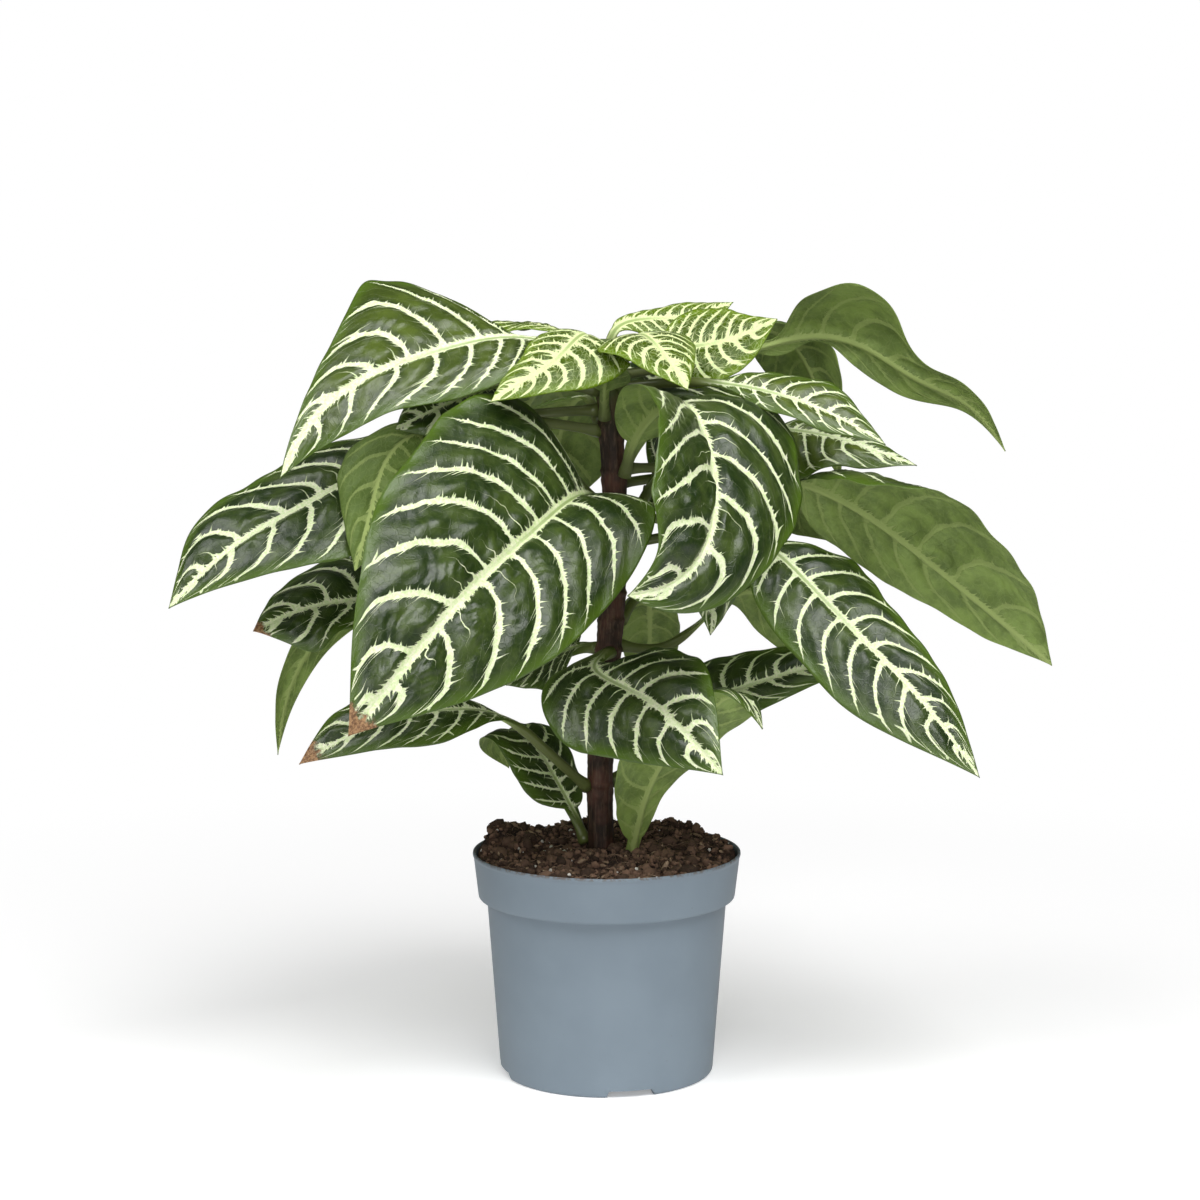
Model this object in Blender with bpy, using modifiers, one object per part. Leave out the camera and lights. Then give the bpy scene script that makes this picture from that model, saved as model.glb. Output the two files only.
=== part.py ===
"""A potted zebra plant: a thin moulded nursery pot, the root ball that fills it, one upright
woody stem, and thirty-seven leaves, each of them one piece with its own stalk.

The frame has its origin under the middle of the pot, where the flat pad in its base stands on
the ground. +Z is up, +X is to the right, and -Y is the front. Lengths below are in millimetres
and angles in degrees; MM turns a length into metres.
"""

import math

import bmesh
import bpy
import numpy as np

MM = 0.001
GAP = 0.4                # clear space between pieces that touch in the real plant

# Pot
RIM_RADIUS = 60.0        # outside, at the top of the band
BAND_FOOT_RADIUS = 57.4  # outside, at the lower edge of the band
SHOULDER_RADIUS = 53.7   # outside, just under the band
FOOT_RADIUS = 47.8       # outside, where the wall meets the ground
POT_HEIGHT = 100.0
BAND_LOWER_EDGE = 79.6
WALL = 1.2
WALL_EASE = 0.1          # extra wall above the shoulder
RIM_ROUND = 0.8
EDGE_ROUND = 0.5         # on the band's lower edge and inside the foot ring
FOOT_ROUND = 0.8
STEP_DROP = 1.6          # the inside narrows over this height, ending this far below the band
STEP_RISE = 1.0          # and starting this far above the band's lower edge
FOOT_RING = 3.0          # width of the ring under the wall
FLOOR_HEIGHT = 3.0       # underside of the raised floor
PAD_RADIUS = 15.0        # flat centre pad that reaches the ground
PAD_SLOPE = 2.0          # the floor falls to the pad over this width
POT_STEPS = 48
NOTCH_COUNT = 4
NOTCH_WIDTH = 22.0
NOTCH_HEIGHT = 3.0
NOTCH_TAPER = 0.88       # width at the top of a notch against its foot
NOTCH_TURN = 13.0        # the first notch is this far to the right of the front
NOTCH_REACH = 8.0        # length of the block that cuts a notch
CUT_MARGIN = 1.0         # a cutting block passes the surface by this much
DRAIN_RADIUS = 4.5
DRAIN_CIRCLE = 34.0
DRAIN_COUNT = 6
DRAIN_SIDES = 16

# Root ball
SOIL_EDGE_HEIGHT = 97.0
SOIL_EDGE_DROP = 1.5     # the rounded edge beside the wall
SOIL_EDGE_EASE = 0.3
SOIL_FADE = 5.0          # heaps and lumps fade out over this width at the rim
LUMP_HEIGHT = 0.5
SOIL_RINGS = (7.0, 14.0, 21.0, 28.0, 35.0, 42.0, 49.0, 55.0)
SOIL_STEPS = POT_STEPS
SOIL_HEAPS = (           # across, back, rise and spread of each heap
    (-47, 18, 10.5, 13),
    (30, 34, 7.5, 13),
    (-8, 38, 8.0, 14),
    (3, -3, 6.0, 16),
    (50, 6, 4.0, 12),
)

# Stem: points on its axis, and the heights of its nodes, where it thickens a little
STEM_PATH = [(-2, 0, 92), (-3, 0, 130), (-1, 0, 170), (2, 0, 205), (3, 0, 270), (1, 0, 300),
             (0, 0, 328)]
STEM_RADIUS = 5.4
STEM_NODES = (130, 191, 204, 216, 240, 252, 270, 290, 308)
NODE_SWELL = 0.2
NODE_SPREAD = 3.0
POCKET_HEIGHT = 30.0     # of the hole in the soil around the stem's foot
POCKET_SIDES = 20
STEM_STATIONS = 45
STEM_SIDES = 14

# Leaves
STALK_RADIUS = 2.2
THICKNESS = 0.6
STALK_STATIONS = 3
BLADE_STATIONS = 12
LARGE_BLADE_STATIONS = 14
LARGE_BLADE = 52.0       # a blade wider than this gets the finer grid
PATH_STEPS = 241
END_CROWDING = 0.45      # share of the blade's stations that crowd towards its two ends
WIDTH_CROWDING = 0.7     # the widths crowd towards the base by this power of the distance
STALK_TAPER = 0.6        # power by which the midrib thins towards the tip
TIP_HALF_WIDTH = 0.7
KEEL_AT_TIP = 0.5        # depth of the midrib below the blade
KEEL_AT_BASE = 2.1
HALF_WAVE_SHIFT = 0.35   # the waves of the right margin run ahead by this share of a wave


def leaf(path, left, right, blade_from=1, roll=(0,), fold=(8, 8), curl=(30, 30), wave=(2, 2),
         young=False):
    """One leaf as a set of values.

    path: points (right, back, up) along the stalk and midrib, from the stem to the tip
    blade_from: the path point where the stalk becomes the blade
    left, right: half-widths on each side of the midrib, spread from the blade's base to its tip
    roll: turn of the blade about its midrib, where more lifts the right half
    fold: how far each half rises out of flat beside the midrib
    curl: how far each half bends down again towards its margin
    wave: height and number of the waves along the margin
    """
    return dict(path=path, left=left, right=right, blade_from=blade_from, roll=roll, fold=fold,
                curl=curl, wave=wave, young=young)


# From the lowest point of attachment to the highest
LEAVES = {
    "leaf_01": leaf(
        [(-10, 7, 103), (-16, 16, 116), (-23, 26, 127), (-31, 34, 139), (-41, 43, 147),
         (-49, 56, 142), (-46, 66, 125)],
        left=(4, 16, 19, 18, 16, 12, 0), right=(4, 10, 15, 17, 15, 12, 0),
        curl=(25, 25), wave=(1, 2)),
    "leaf_02": leaf(
        [(11, -10, 102.2), (12.3, -12, 108), (15, -16, 121), (22, -25, 141), (42, -40, 168),
         (57, -50, 178), (66, -60, 165)],
        left=(4, 7, 10, 16, 20, 21, 0), right=(4, 11, 18, 26, 28, 21, 0),
        wave=(1, 2)),
    "leaf_03": leaf(
        [(-9.5, -3, 130), (-28, -20, 150), (-46, -32, 166), (-68, -46, 171), (-83, -52, 170),
         (-100, -58, 166), (-130, -66, 151)],
        left=(4, 8, 14, 18, 16, 9, 0), right=(4, 16, 22, 24, 22, 16, 0),
        blade_from=2, roll=(20, 40, 50), curl=(35, 35), wave=(1, 2)),
    "leaf_04": leaf(
        [(3, 3.5, 131), (30, 14, 151), (50, 22, 165), (74, 30, 173), (100, 34, 178),
         (124, 34, 172)],
        left=(4, 20, 26, 24, 18, 11, 0), right=(4, 10, 14, 15, 12, 7, 0),
        roll=(-30, -40, -40), curl=(35, 35), wave=(1, 2)),
    "leaf_05": leaf(
        [(1, -6.9, 190), (-5, -16, 187), (13, -46, 178), (31, -72, 167), (48, -86, 150)],
        left=(4, 18, 28, 30, 27, 16, 0), right=(16, 27, 35, 35, 28, 17, 0),
        roll=(0, -25, -35)),
    "leaf_06": leaf(
        [(-4.5, 3, 191), (-14, 12, 190), (-28, 22, 182), (-46, 30, 170)],
        left=(6, 22, 24, 20, 14, 8, 0), right=(4, 12, 14, 13, 11, 7, 0),
        roll=(40, 50, 50), wave=(1, 2)),
    "leaf_07": leaf(
        [(6, 4, 192), (27, 16, 190), (43, 26, 201), (64, 40, 212), (91, 50, 198), (113, 55, 174),
         (130, 54, 147)],
        left=(2, 5, 12, 20, 20, 12, 0), right=(4, 10, 18, 22, 20, 12, 0),
        blade_from=2, roll=(20, 40, 40), curl=(35, 35), wave=(1, 2)),
    "leaf_08": leaf(
        [(6.9, 5.3, 204), (18, 30, 214), (20, 48, 200), (20, 60, 176), (18, 66, 150)],
        left=(1, 6, 12, 14, 13, 8, 0), right=(1, 6, 12, 14, 13, 8, 0)),
    "leaf_09": leaf(
        [(-1.5, 5.5, 215), (-12, 44, 222), (-28, 80, 202), (-42, 104, 166)],
        left=(3, 13, 24, 30, 28, 17, 0), right=(3, 13, 24, 30, 28, 17, 0)),
    "leaf_10": leaf(
        [(7.9, 5.9, 226), (21, 27, 252), (54, 66, 243), (84, 100, 196)],
        left=(3, 13, 25, 31, 29, 17, 0), right=(3, 13, 25, 31, 29, 17, 0),
        roll=(-10,)),
    "leaf_11": leaf(
        [(-2.5, 2, 231), (-70, 14, 216), (-110, 10, 212), (-132, 4, 209), (-156, -8, 200)],
        left=(4, 14, 20, 14, 16, 22, 0), right=(4, 16, 24, 28, 30, 18, 0),
        roll=(40, 45, 50), curl=(35, 35)),
    "leaf_12": leaf(
        [(9.5, -3, 238), (68, -25, 240), (84, -36, 227), (107, -52, 204), (130, -64, 181),
         (156, -76, 147)],
        left=(4, 18, 29, 26, 20, 13, 0), right=(6, 20, 26, 28, 28, 18, 0),
        roll=(-30, -40, -45), curl=(35, 35), wave=(1.5, 2)),
    "leaf_13": leaf(
        [(0.5, 5.5, 240), (-40, 52, 244), (-74, 86, 218), (-96, 108, 180)],
        left=(3, 13, 26, 32, 29, 18, 0), right=(3, 13, 26, 32, 29, 18, 0),
        roll=(10,)),
    "leaf_14": leaf(
        [(-2, 3, 246), (-80, 45, 226), (-116, 54, 207), (-136, 50, 186), (-147.5, 42, 162),
         (-151, 34, 137)],
        left=(6, 22, 26, 18, 11, 7, 0), right=(4, 8, 11, 12, 8, 5, 0),
        roll=(-30, -50, -50), curl=(35, 35), wave=(1, 2)),
    "leaf_15": leaf(
        [(11, 2, 247), (22, 8, 267), (35, 15, 278), (52, 22, 268), (62, 24, 246)],
        left=(2, 9, 18, 22, 20, 12, 0), right=(6, 20, 28, 28, 22, 12, 0),
        roll=(-40, -50, -50)),
    "leaf_16": leaf(
        [(8, -4.5, 250), (30, -26, 248), (44, -42, 228), (44, -52, 204)],
        left=(2, 7, 14, 17, 16, 10, 0), right=(2, 7, 14, 17, 16, 10, 0),
        curl=(35, 35), wave=(3, 2)),
    "leaf_17": leaf(
        [(-1.5, -4.5, 256), (-9, -22, 261), (-28, -60, 252), (-45, -88, 239), (-64, -115, 221),
         (-83, -132, 199), (-102, -142, 176)],
        left=(14, 38, 45, 46, 43, 28, 0), right=(12, 52, 62, 58, 51, 31, 0),
        roll=(35, 52, 55), fold=((50, 24, 12, 12), (40, 15, 10, 10)), curl=(25, 25), wave=(3, 2.5)),
    "leaf_18": leaf(
        [(5.5, 6, 264), (52, 44, 264), (85, 60, 252), (106, 66, 232)],
        left=(2, 10, 20, 25, 23, 14, 0), right=(2, 10, 20, 25, 23, 14, 0),
        roll=(30,), curl=(35, 35), wave=(3, 2)),
    "leaf_19": leaf(
        [(8, -6, 270), (12, -14, 284), (33, -44, 301), (41, -62, 287), (44, -84, 264),
         (38, -98, 243), (26, -106, 232), (8, -113, 228)],
        left=(8, 34, 47, 51, 44, 25, 0), right=(4, 16, 26, 31, 37, 33, 0),
        fold=((28, 16, 8, 8), (10, 25, 30, 30)), curl=(30, 20)),
    "leaf_20": leaf(
        [(8.5, 2, 271), (86, 6.5, 264.4), (108, 2, 254.6), (146, -10, 227), (172, -18, 206),
         (194, -24, 187)],
        left=(4, 22, 26, 24, 21, 14, 0), right=(5, 32, 53, 61, 52, 35, 0),
        roll=(50,), curl=(25, (95, 80, 45, 32, 30))),
    "leaf_21": leaf(
        [(4.4, 6.9, 281), (12, 22, 299), (34, 60, 311), (56, 96, 300), (74, 124, 258)],
        left=(4, 15, 29, 36, 33, 20, 0), right=(4, 15, 29, 36, 33, 20, 0),
        roll=(-10,)),
    "leaf_22": leaf(
        [(7.5, 2, 287), (77, 14, 288), (103, 6, 284), (116, 0, 280), (136, -6, 273)],
        left=(2, 7, 9, 8, 7, 5, 0), right=(4, 18, 24, 23, 14, 8, 0),
        roll=(-40,), curl=(35, 35), wave=(3, 2)),
    "leaf_23": leaf(
        [(-4.5, -1, 288), (-66, -18, 292), (-91, -28, 281), (-100, -40, 258), (-107, -48, 231)],
        left=(2, 10, 20, 25, 23, 14, 0), right=(2, 10, 20, 25, 23, 14, 0),
        roll=(30,), curl=(35, 35)),
    "leaf_24": leaf(
        [(-3.5, 5.5, 292), (-10, 22, 302), (-18, 38, 294), (-24, 48, 268), (-27, 53, 240)],
        left=(3, 13, 25, 31, 29, 17, 0), right=(3, 13, 25, 31, 29, 17, 0)),
    "leaf_25": leaf(
        [(-1, -7.5, 295), (-1, -13, 306), (0, -16, 315), (2, -17, 323)],
        left=(1, 5, 9, 11, 10, 6, 0), right=(1, 5, 9, 11, 10, 6, 0),
        wave=(1, 2)),
    "leaf_26": leaf(
        [(-5, 0, 297), (-55, 6, 291), (-97, -4, 275), (-133, -20, 256), (-162, -32, 239),
         (-188, -40, 214)],
        left=(4, 18, 34, 40, 35, 20, 0), right=(4, 9, 18, 28, 30, 28, 0),
        roll=(40, 45, 45)),
    "leaf_27": leaf(
        [(-5, -3.5, 306), (-38, -8, 309), (-63, -16, 303), (-91, -28, 290)],
        left=(2, 10, 20, 25, 23, 14, 0), right=(2, 10, 20, 25, 23, 14, 0),
        roll=(40,), curl=(35, 35)),
    "leaf_28": leaf(
        [(6.5, -2.5, 307), (50, -17, 309.3), (75, -24, 304.6), (96, -29, 297), (119, -36, 284)],
        left=(3, 8, 12, 17, 17, 10, 0), right=(2, 4, 8, 11, 11, 7, 0),
        roll=(-40,)),
    "leaf_29": leaf(
        [(0, 6.5, 309), (-14, 40, 318), (-34, 80, 300), (-52, 112, 262)],
        left=(4, 15, 28, 35, 32, 20, 0), right=(4, 15, 28, 35, 32, 20, 0),
        roll=(10,)),
    "leaf_30": leaf(
        [(5.5, 3, 312), (68, 20, 324), (92, 14, 329), (112, 6, 325), (137, -4, 310),
         (158, -12, 299), (173, -18, 280)],
        left=(4, 7, 3, 10, 13, 5, 0), right=(4, 4, 25, 37, 14, 11, 0),
        roll=(60, 65, 60), curl=(35, 30)),
    "leaf_31": leaf(
        [(-6.5, -2, 317), (-30, -12, 328), (-75, -32, 323), (-102, -46, 313), (-122, -58, 297),
         (-136, -70, 272)],
        left=(8, 22, 27, 25, 21, 15, 0), right=(4, 4, 45, 54, 28, 9, 0),
        roll=(30, 45, 50)),
    "leaf_32": leaf(
        [(-4, -6.5, 319), (-8, -14, 330), (-22, -34, 320), (-35, -46, 312), (-49, -56, 303)],
        left=(4, 24, 27, 22, 14, 8, 0), right=(4, 12, 16, 16, 12, 8, 0),
        roll=(20, 30, 30), curl=(35, 35), wave=(1, 2), young=True),
    "leaf_33": leaf(
        [(4.5, -6, 318), (12, -15, 330), (23, -35, 324), (29, -46, 316), (34, -53, 308)],
        left=(4, 14, 20, 20, 15, 9, 0), right=(6, 20, 24, 21, 15, 9, 0),
        wave=(1, 2), young=True),
    "leaf_34": leaf(
        [(0, 8, 320), (4, 11, 332), (13, 17, 336), (32, 24, 337.2), (57, 34, 343.7)],
        left=(2, 4, 5, 8, 9, 7, 0), right=(2, 4, 8, 12, 12, 8, 0),
        roll=(-40,), curl=(35, 35), wave=(1, 2), young=True),
    "leaf_35": leaf(
        [(6, 1.5, 320), (24, 5, 323), (40, 2, 325), (54, -3, 328), (64, -6, 332), (74, -9, 337)],
        left=(4, 14, 20, 21, 18, 10, 0), right=(4, 14, 20, 22, 19, 12, 0),
        roll=(-50,), curl=(25, 25), wave=(1, 2), young=True),
    "leaf_36": leaf(
        [(4, 5, 322), (55, 40, 333), (84, 56, 326), (98, 60, 302), (108, 58, 262)],
        left=(2, 9, 18, 22, 20, 12, 0), right=(2, 9, 18, 22, 20, 12, 0),
        roll=(20,), curl=(35, 35)),
    "leaf_37": leaf(
        [(-4, 5, 323), (-21, 20, 331), (-39, 38, 334), (-60, 56, 333)],
        left=(2, 7, 13, 16, 15, 9, 0), right=(2, 7, 13, 16, 15, 9, 0),
        curl=(35, 35), young=True),
}
BASAL_LEAVES = ("leaf_01", "leaf_02")  # these two rise out of the soil beside the stem

POT_COLOUR = (0.235, 0.300, 0.350)
SOIL_COLOUR = (0.032, 0.018, 0.012)
STEM_COLOUR = (0.052, 0.024, 0.022)
MATURE_COLOUR = (0.030, 0.085, 0.036)
YOUNG_COLOUR = (0.245, 0.420, 0.060)


def make_material(name, colour, roughness):
    material = bpy.data.materials.new(name)
    material.use_nodes = True
    shader = material.node_tree.nodes["Principled BSDF"]
    shader.inputs["Base Color"].default_value = (*colour, 1.0)
    shader.inputs["Roughness"].default_value = roughness
    shader.inputs["Metallic"].default_value = 0.0
    return material


def make_collection(name):
    collection = bpy.data.collections.new(name)
    bpy.context.scene.collection.children.link(collection)
    return collection


def add_object(name, mesh, collection, material=None):
    obj = bpy.data.objects.new(name, mesh)
    collection.objects.link(obj)
    if material:
        mesh.materials.append(material)
    return obj


def mesh_of(bm, name):
    mesh = bpy.data.meshes.new(name)
    bm.to_mesh(mesh)
    bm.free()
    return mesh


def applied(obj):
    """The object's mesh with its modifiers applied, as a new mesh."""
    graph = bpy.context.evaluated_depsgraph_get()
    return bpy.data.meshes.new_from_object(obj.evaluated_get(graph), depsgraph=graph)


def turned(name, profile, steps, collection, material):
    """A closed solid turned about Z from a profile of (radius, height) that starts and ends on Z.

    The profile runs outwards over the top, down the outside, and back in along the underside.
    """
    bm = bmesh.new()
    points = [bm.verts.new((radius * MM, 0, height * MM)) for radius, height in profile]
    for start, end in zip(points, points[1:]):
        bm.edges.new((start, end))
    obj = add_object(name, mesh_of(bm, name), collection, material)
    screw = obj.modifiers.new("Turn", "SCREW")
    screw.steps = screw.render_steps = steps
    screw.use_merge_vertices = True
    screw.merge_threshold = 0.00001
    screw.use_smooth_shade = True
    return obj


def pot_profile():
    """The pot's section: inner floor, inner wall, rolled rim, band, step, wall, foot, underside."""
    band_slope = (RIM_RADIUS - BAND_FOOT_RADIUS) / (POT_HEIGHT - BAND_LOWER_EDGE)
    wall_slope = (SHOULDER_RADIUS - FOOT_RADIUS) / BAND_LOWER_EDGE
    floor_top = FLOOR_HEIGHT + WALL
    foot_inside = FOOT_RADIUS - FOOT_RING
    inner = [
        (0, WALL),
        (PAD_RADIUS + WALL / 2, WALL),
        (PAD_RADIUS + PAD_SLOPE + WALL / 2, floor_top),
        (FOOT_RADIUS + wall_slope * floor_top - WALL, floor_top),
        (SHOULDER_RADIUS - WALL - WALL_EASE, BAND_LOWER_EDGE - STEP_DROP),
        (BAND_FOOT_RADIUS + band_slope * STEP_RISE - WALL - WALL_EASE,
         BAND_LOWER_EDGE + STEP_RISE),
        (RIM_RADIUS - WALL - WALL_EASE, POT_HEIGHT - RIM_ROUND),
    ]
    rim = [
        (RIM_RADIUS - RIM_ROUND, POT_HEIGHT),
        (RIM_RADIUS, POT_HEIGHT - RIM_ROUND),
        (RIM_RADIUS - RIM_ROUND / 4, POT_HEIGHT - 3 * RIM_ROUND),
    ]
    outer = [
        (BAND_FOOT_RADIUS, BAND_LOWER_EDGE + EDGE_ROUND),
        (BAND_FOOT_RADIUS - EDGE_ROUND, BAND_LOWER_EDGE),
        (SHOULDER_RADIUS + EDGE_ROUND, BAND_LOWER_EDGE - EDGE_ROUND),
        (SHOULDER_RADIUS, BAND_LOWER_EDGE - 2 * EDGE_ROUND),
        (FOOT_RADIUS, FOOT_ROUND),
        (FOOT_RADIUS - FOOT_ROUND, 0),
    ]
    underside = [
        (foot_inside, 0),
        (foot_inside - EDGE_ROUND, EDGE_ROUND),
        (foot_inside - EDGE_ROUND, FLOOR_HEIGHT),
        (PAD_RADIUS + PAD_SLOPE, FLOOR_HEIGHT),
        (PAD_RADIUS, 0),
        (0, 0),
    ]
    return inner + rim + outer + underside


def around(count, first=0.0):
    return [math.radians(first) + 2 * math.pi * index / count for index in range(count)]


def notch_cutter(collection):
    """Tapering blocks that open the foot ring, so that water runs out from under the pot."""
    bm = bmesh.new()
    for angle in around(NOTCH_COUNT, NOTCH_TURN - 90):
        made = bmesh.ops.create_cube(bm, size=1.0)
        for vert in made["verts"]:
            depth = (FOOT_RADIUS - FOOT_RING / 2 + NOTCH_REACH * vert.co.x) * MM
            low, high = -2 * CUT_MARGIN, NOTCH_HEIGHT
            height = ((low + high) / 2 + (high - low) * vert.co.z) * MM
            spread = 1.0 if vert.co.z < 0 else NOTCH_TAPER
            side = NOTCH_WIDTH * vert.co.y * spread * MM
            vert.co = (
                depth * math.cos(angle) - side * math.sin(angle),
                depth * math.sin(angle) + side * math.cos(angle),
                height,
            )
    return add_object("notch_cutter", mesh_of(bm, "notch_cutter"), collection)


def drain_cutter(collection):
    bm = bmesh.new()
    for angle in around(DRAIN_COUNT, NOTCH_TURN - 60):
        made = bmesh.ops.create_cone(
            bm, cap_ends=True, segments=DRAIN_SIDES, radius1=DRAIN_RADIUS * MM,
            radius2=DRAIN_RADIUS * MM, depth=4 * WALL * MM,
        )
        place = (
            DRAIN_CIRCLE * MM * math.cos(angle),
            DRAIN_CIRCLE * MM * math.sin(angle),
            (FLOOR_HEIGHT + WALL / 2) * MM,
        )
        bmesh.ops.translate(bm, verts=made["verts"], vec=place)
    return add_object("drain_cutter", mesh_of(bm, "drain_cutter"), collection)


def cut(obj, cutter):
    cutter.hide_render = True
    cutter.display_type = "WIRE"
    modifier = obj.modifiers.new(cutter.name, "BOOLEAN")
    modifier.operation = "DIFFERENCE"
    modifier.solver = "EXACT"
    modifier.object = cutter


def make_pot(parts, cutters):
    pot = turned("pot", pot_profile(), POT_STEPS, parts,
                 make_material("pot", POT_COLOUR, 0.42))
    cut(pot, notch_cutter(cutters))
    cut(pot, drain_cutter(cutters))


def soil_rise(x, y):
    """Height of the soil surface above its edge: low heaps, and lumps from three crossed waves."""
    rise = sum(
        lift * np.exp(-((x - across) ** 2 + (y - back) ** 2) / (2 * spread**2))
        for across, back, lift, spread in SOIL_HEAPS
    )
    lumps = (
        np.sin(x / 3.9 + 0.7 * np.sin(y / 6.1))
        + np.sin(y / 4.3 + 0.9 * np.sin(x / 7.3))
        + np.sin((x + y) / 5.7)
    )
    return rise + LUMP_HEIGHT * lumps


def soil_profile():
    """The root ball's section: over the top in rings, then down just inside the pot."""
    inside = pot_profile()[:7]
    top = [(0, SOIL_EDGE_HEIGHT)] + [(radius, SOIL_EDGE_HEIGHT) for radius in SOIL_RINGS]
    side = [
        (inside[6][0] - SOIL_EDGE_EASE - GAP, SOIL_EDGE_HEIGHT - SOIL_EDGE_DROP),
        (inside[5][0] - GAP, inside[5][1] + GAP),
        (inside[4][0] - GAP, inside[4][1] + GAP / 2),
        (inside[3][0] - GAP, inside[3][1] + GAP),
        (inside[2][0] - GAP / 2, inside[2][1] + GAP),
        (inside[1][0] - GAP / 2, inside[1][1] + GAP),
        (0, WALL + GAP),
    ]
    return top + side


def make_soil(parts, cutters):
    """The root ball, with its top heaped up, and pockets for the stem and the basal stalks."""
    material = make_material("soil", SOIL_COLOUR, 0.95)
    blank = turned("soil", soil_profile(), SOIL_STEPS, parts, None)
    mesh = applied(blank)
    bpy.data.objects.remove(blank)
    bm = bmesh.new()
    bm.from_mesh(mesh)
    bmesh.ops.remove_doubles(bm, verts=bm.verts, dist=0.00001)
    for vert in bm.verts:
        if vert.co.z > (SOIL_EDGE_HEIGHT - SOIL_EDGE_DROP / 2) * MM:
            reach = math.hypot(vert.co.x, vert.co.y) / MM
            fade = min(1.0, (RIM_RADIUS - reach) / SOIL_FADE)
            vert.co.z += MM * fade * float(soil_rise(vert.co.x / MM, vert.co.y / MM))
    bm.to_mesh(mesh)
    bm.free()
    soil = add_object("soil", mesh, parts, material)
    pocket = bmesh.new()
    made = bmesh.ops.create_cone(
        pocket, cap_ends=True, segments=POCKET_SIDES, radius1=(STEM_RADIUS + 2 * GAP) * MM,
        radius2=(STEM_RADIUS + 2 * GAP) * MM, depth=POCKET_HEIGHT * MM,
    )
    across, back, foot = STEM_PATH[0]
    middle = foot + POCKET_HEIGHT / 2 - GAP
    bmesh.ops.translate(
        pocket, verts=made["verts"], vec=(across * MM, back * MM, middle * MM)
    )
    for name in BASAL_LEAVES:
        made = bmesh.ops.create_uvsphere(
            pocket, u_segments=16, v_segments=10, radius=(STALK_RADIUS + 1.5 * GAP) * MM
        )
        start = LEAVES[name]["path"][0]
        bmesh.ops.translate(pocket, verts=made["verts"], vec=[value * MM for value in start])
    cut(soil, add_object("pocket_cutter", mesh_of(pocket, "pocket_cutter"), cutters))


def smooth_path(points, count):
    """A natural cubic curve through the points, read off at even steps of its length.

    Also gives where along the length, from 0 to 1, each of the points lies.
    """
    knots = np.asarray(points, float)
    at = np.concatenate([[0], np.cumsum(np.linalg.norm(np.diff(knots, axis=0), axis=1))])
    step = np.diff(at)
    size = len(at)
    system = np.eye(size)
    bend = np.zeros((size, 3))
    for i in range(1, size - 1):
        system[i, i - 1:i + 2] = step[i - 1], 2 * (step[i - 1] + step[i]), step[i]
        bend[i] = 6 * ((knots[i + 1] - knots[i]) / step[i]
                       - (knots[i] - knots[i - 1]) / step[i - 1])
    second = np.linalg.solve(system, bend)
    t = np.linspace(0, at[-1], 2 * PATH_STEPS)
    i = np.clip(np.searchsorted(at, t, side="right") - 1, 0, size - 2)
    before = (at[i + 1] - t)[:, None]
    after = (t - at[i])[:, None]
    h = step[i][:, None]
    curve = (
        (second[i] * before**3 + second[i + 1] * after**3) / (6 * h)
        + (knots[i] / h - second[i] * h / 6) * before
        + (knots[i + 1] / h - second[i + 1] * h / 6) * after
    )
    length = np.concatenate([[0], np.cumsum(np.linalg.norm(np.diff(curve, axis=0), axis=1))])
    even = np.linspace(0, length[-1], count)
    points_even = np.stack([np.interp(even, length, curve[:, k]) for k in range(3)], 1)
    return points_even, np.interp(at, t, length) / length[-1]


def carried_frame(curve):
    """Directions along the curve, up from it and to its right, with up carried without twist."""
    along = np.gradient(curve, axis=0)
    along /= np.linalg.norm(along, axis=1)[:, None]
    up = np.zeros_like(along)
    carried = np.array([0.0, 0.0, 1.0])
    for i, direction in enumerate(along):
        carried = carried - carried.dot(direction) * direction
        carried /= np.linalg.norm(carried)
        up[i] = carried
    return along, up, np.cross(along, up)


def ease(x, values):
    """Values spread evenly over 0 to 1 and joined by a smooth curve through all of them."""
    values = np.atleast_1d(np.asarray(values, float))
    if len(values) == 1:
        return np.full_like(x, values[0])
    spots = np.linspace(0, 1, len(values))
    i = np.clip(np.searchsorted(spots, x, side="right") - 1, 0, len(values) - 2)
    t = (x - spots[i]) / (spots[i + 1] - spots[i])
    padded = np.concatenate([[2 * values[0] - values[1]], values,
                             [2 * values[-1] - values[-2]]])
    a, b, c, d = padded[i], padded[i + 1], padded[i + 2], padded[i + 3]
    return 0.5 * (2 * b + (c - a) * t + (2 * a - 5 * b + 4 * c - d) * t**2
                  + (3 * b - a - 3 * c + d) * t**3)


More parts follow.
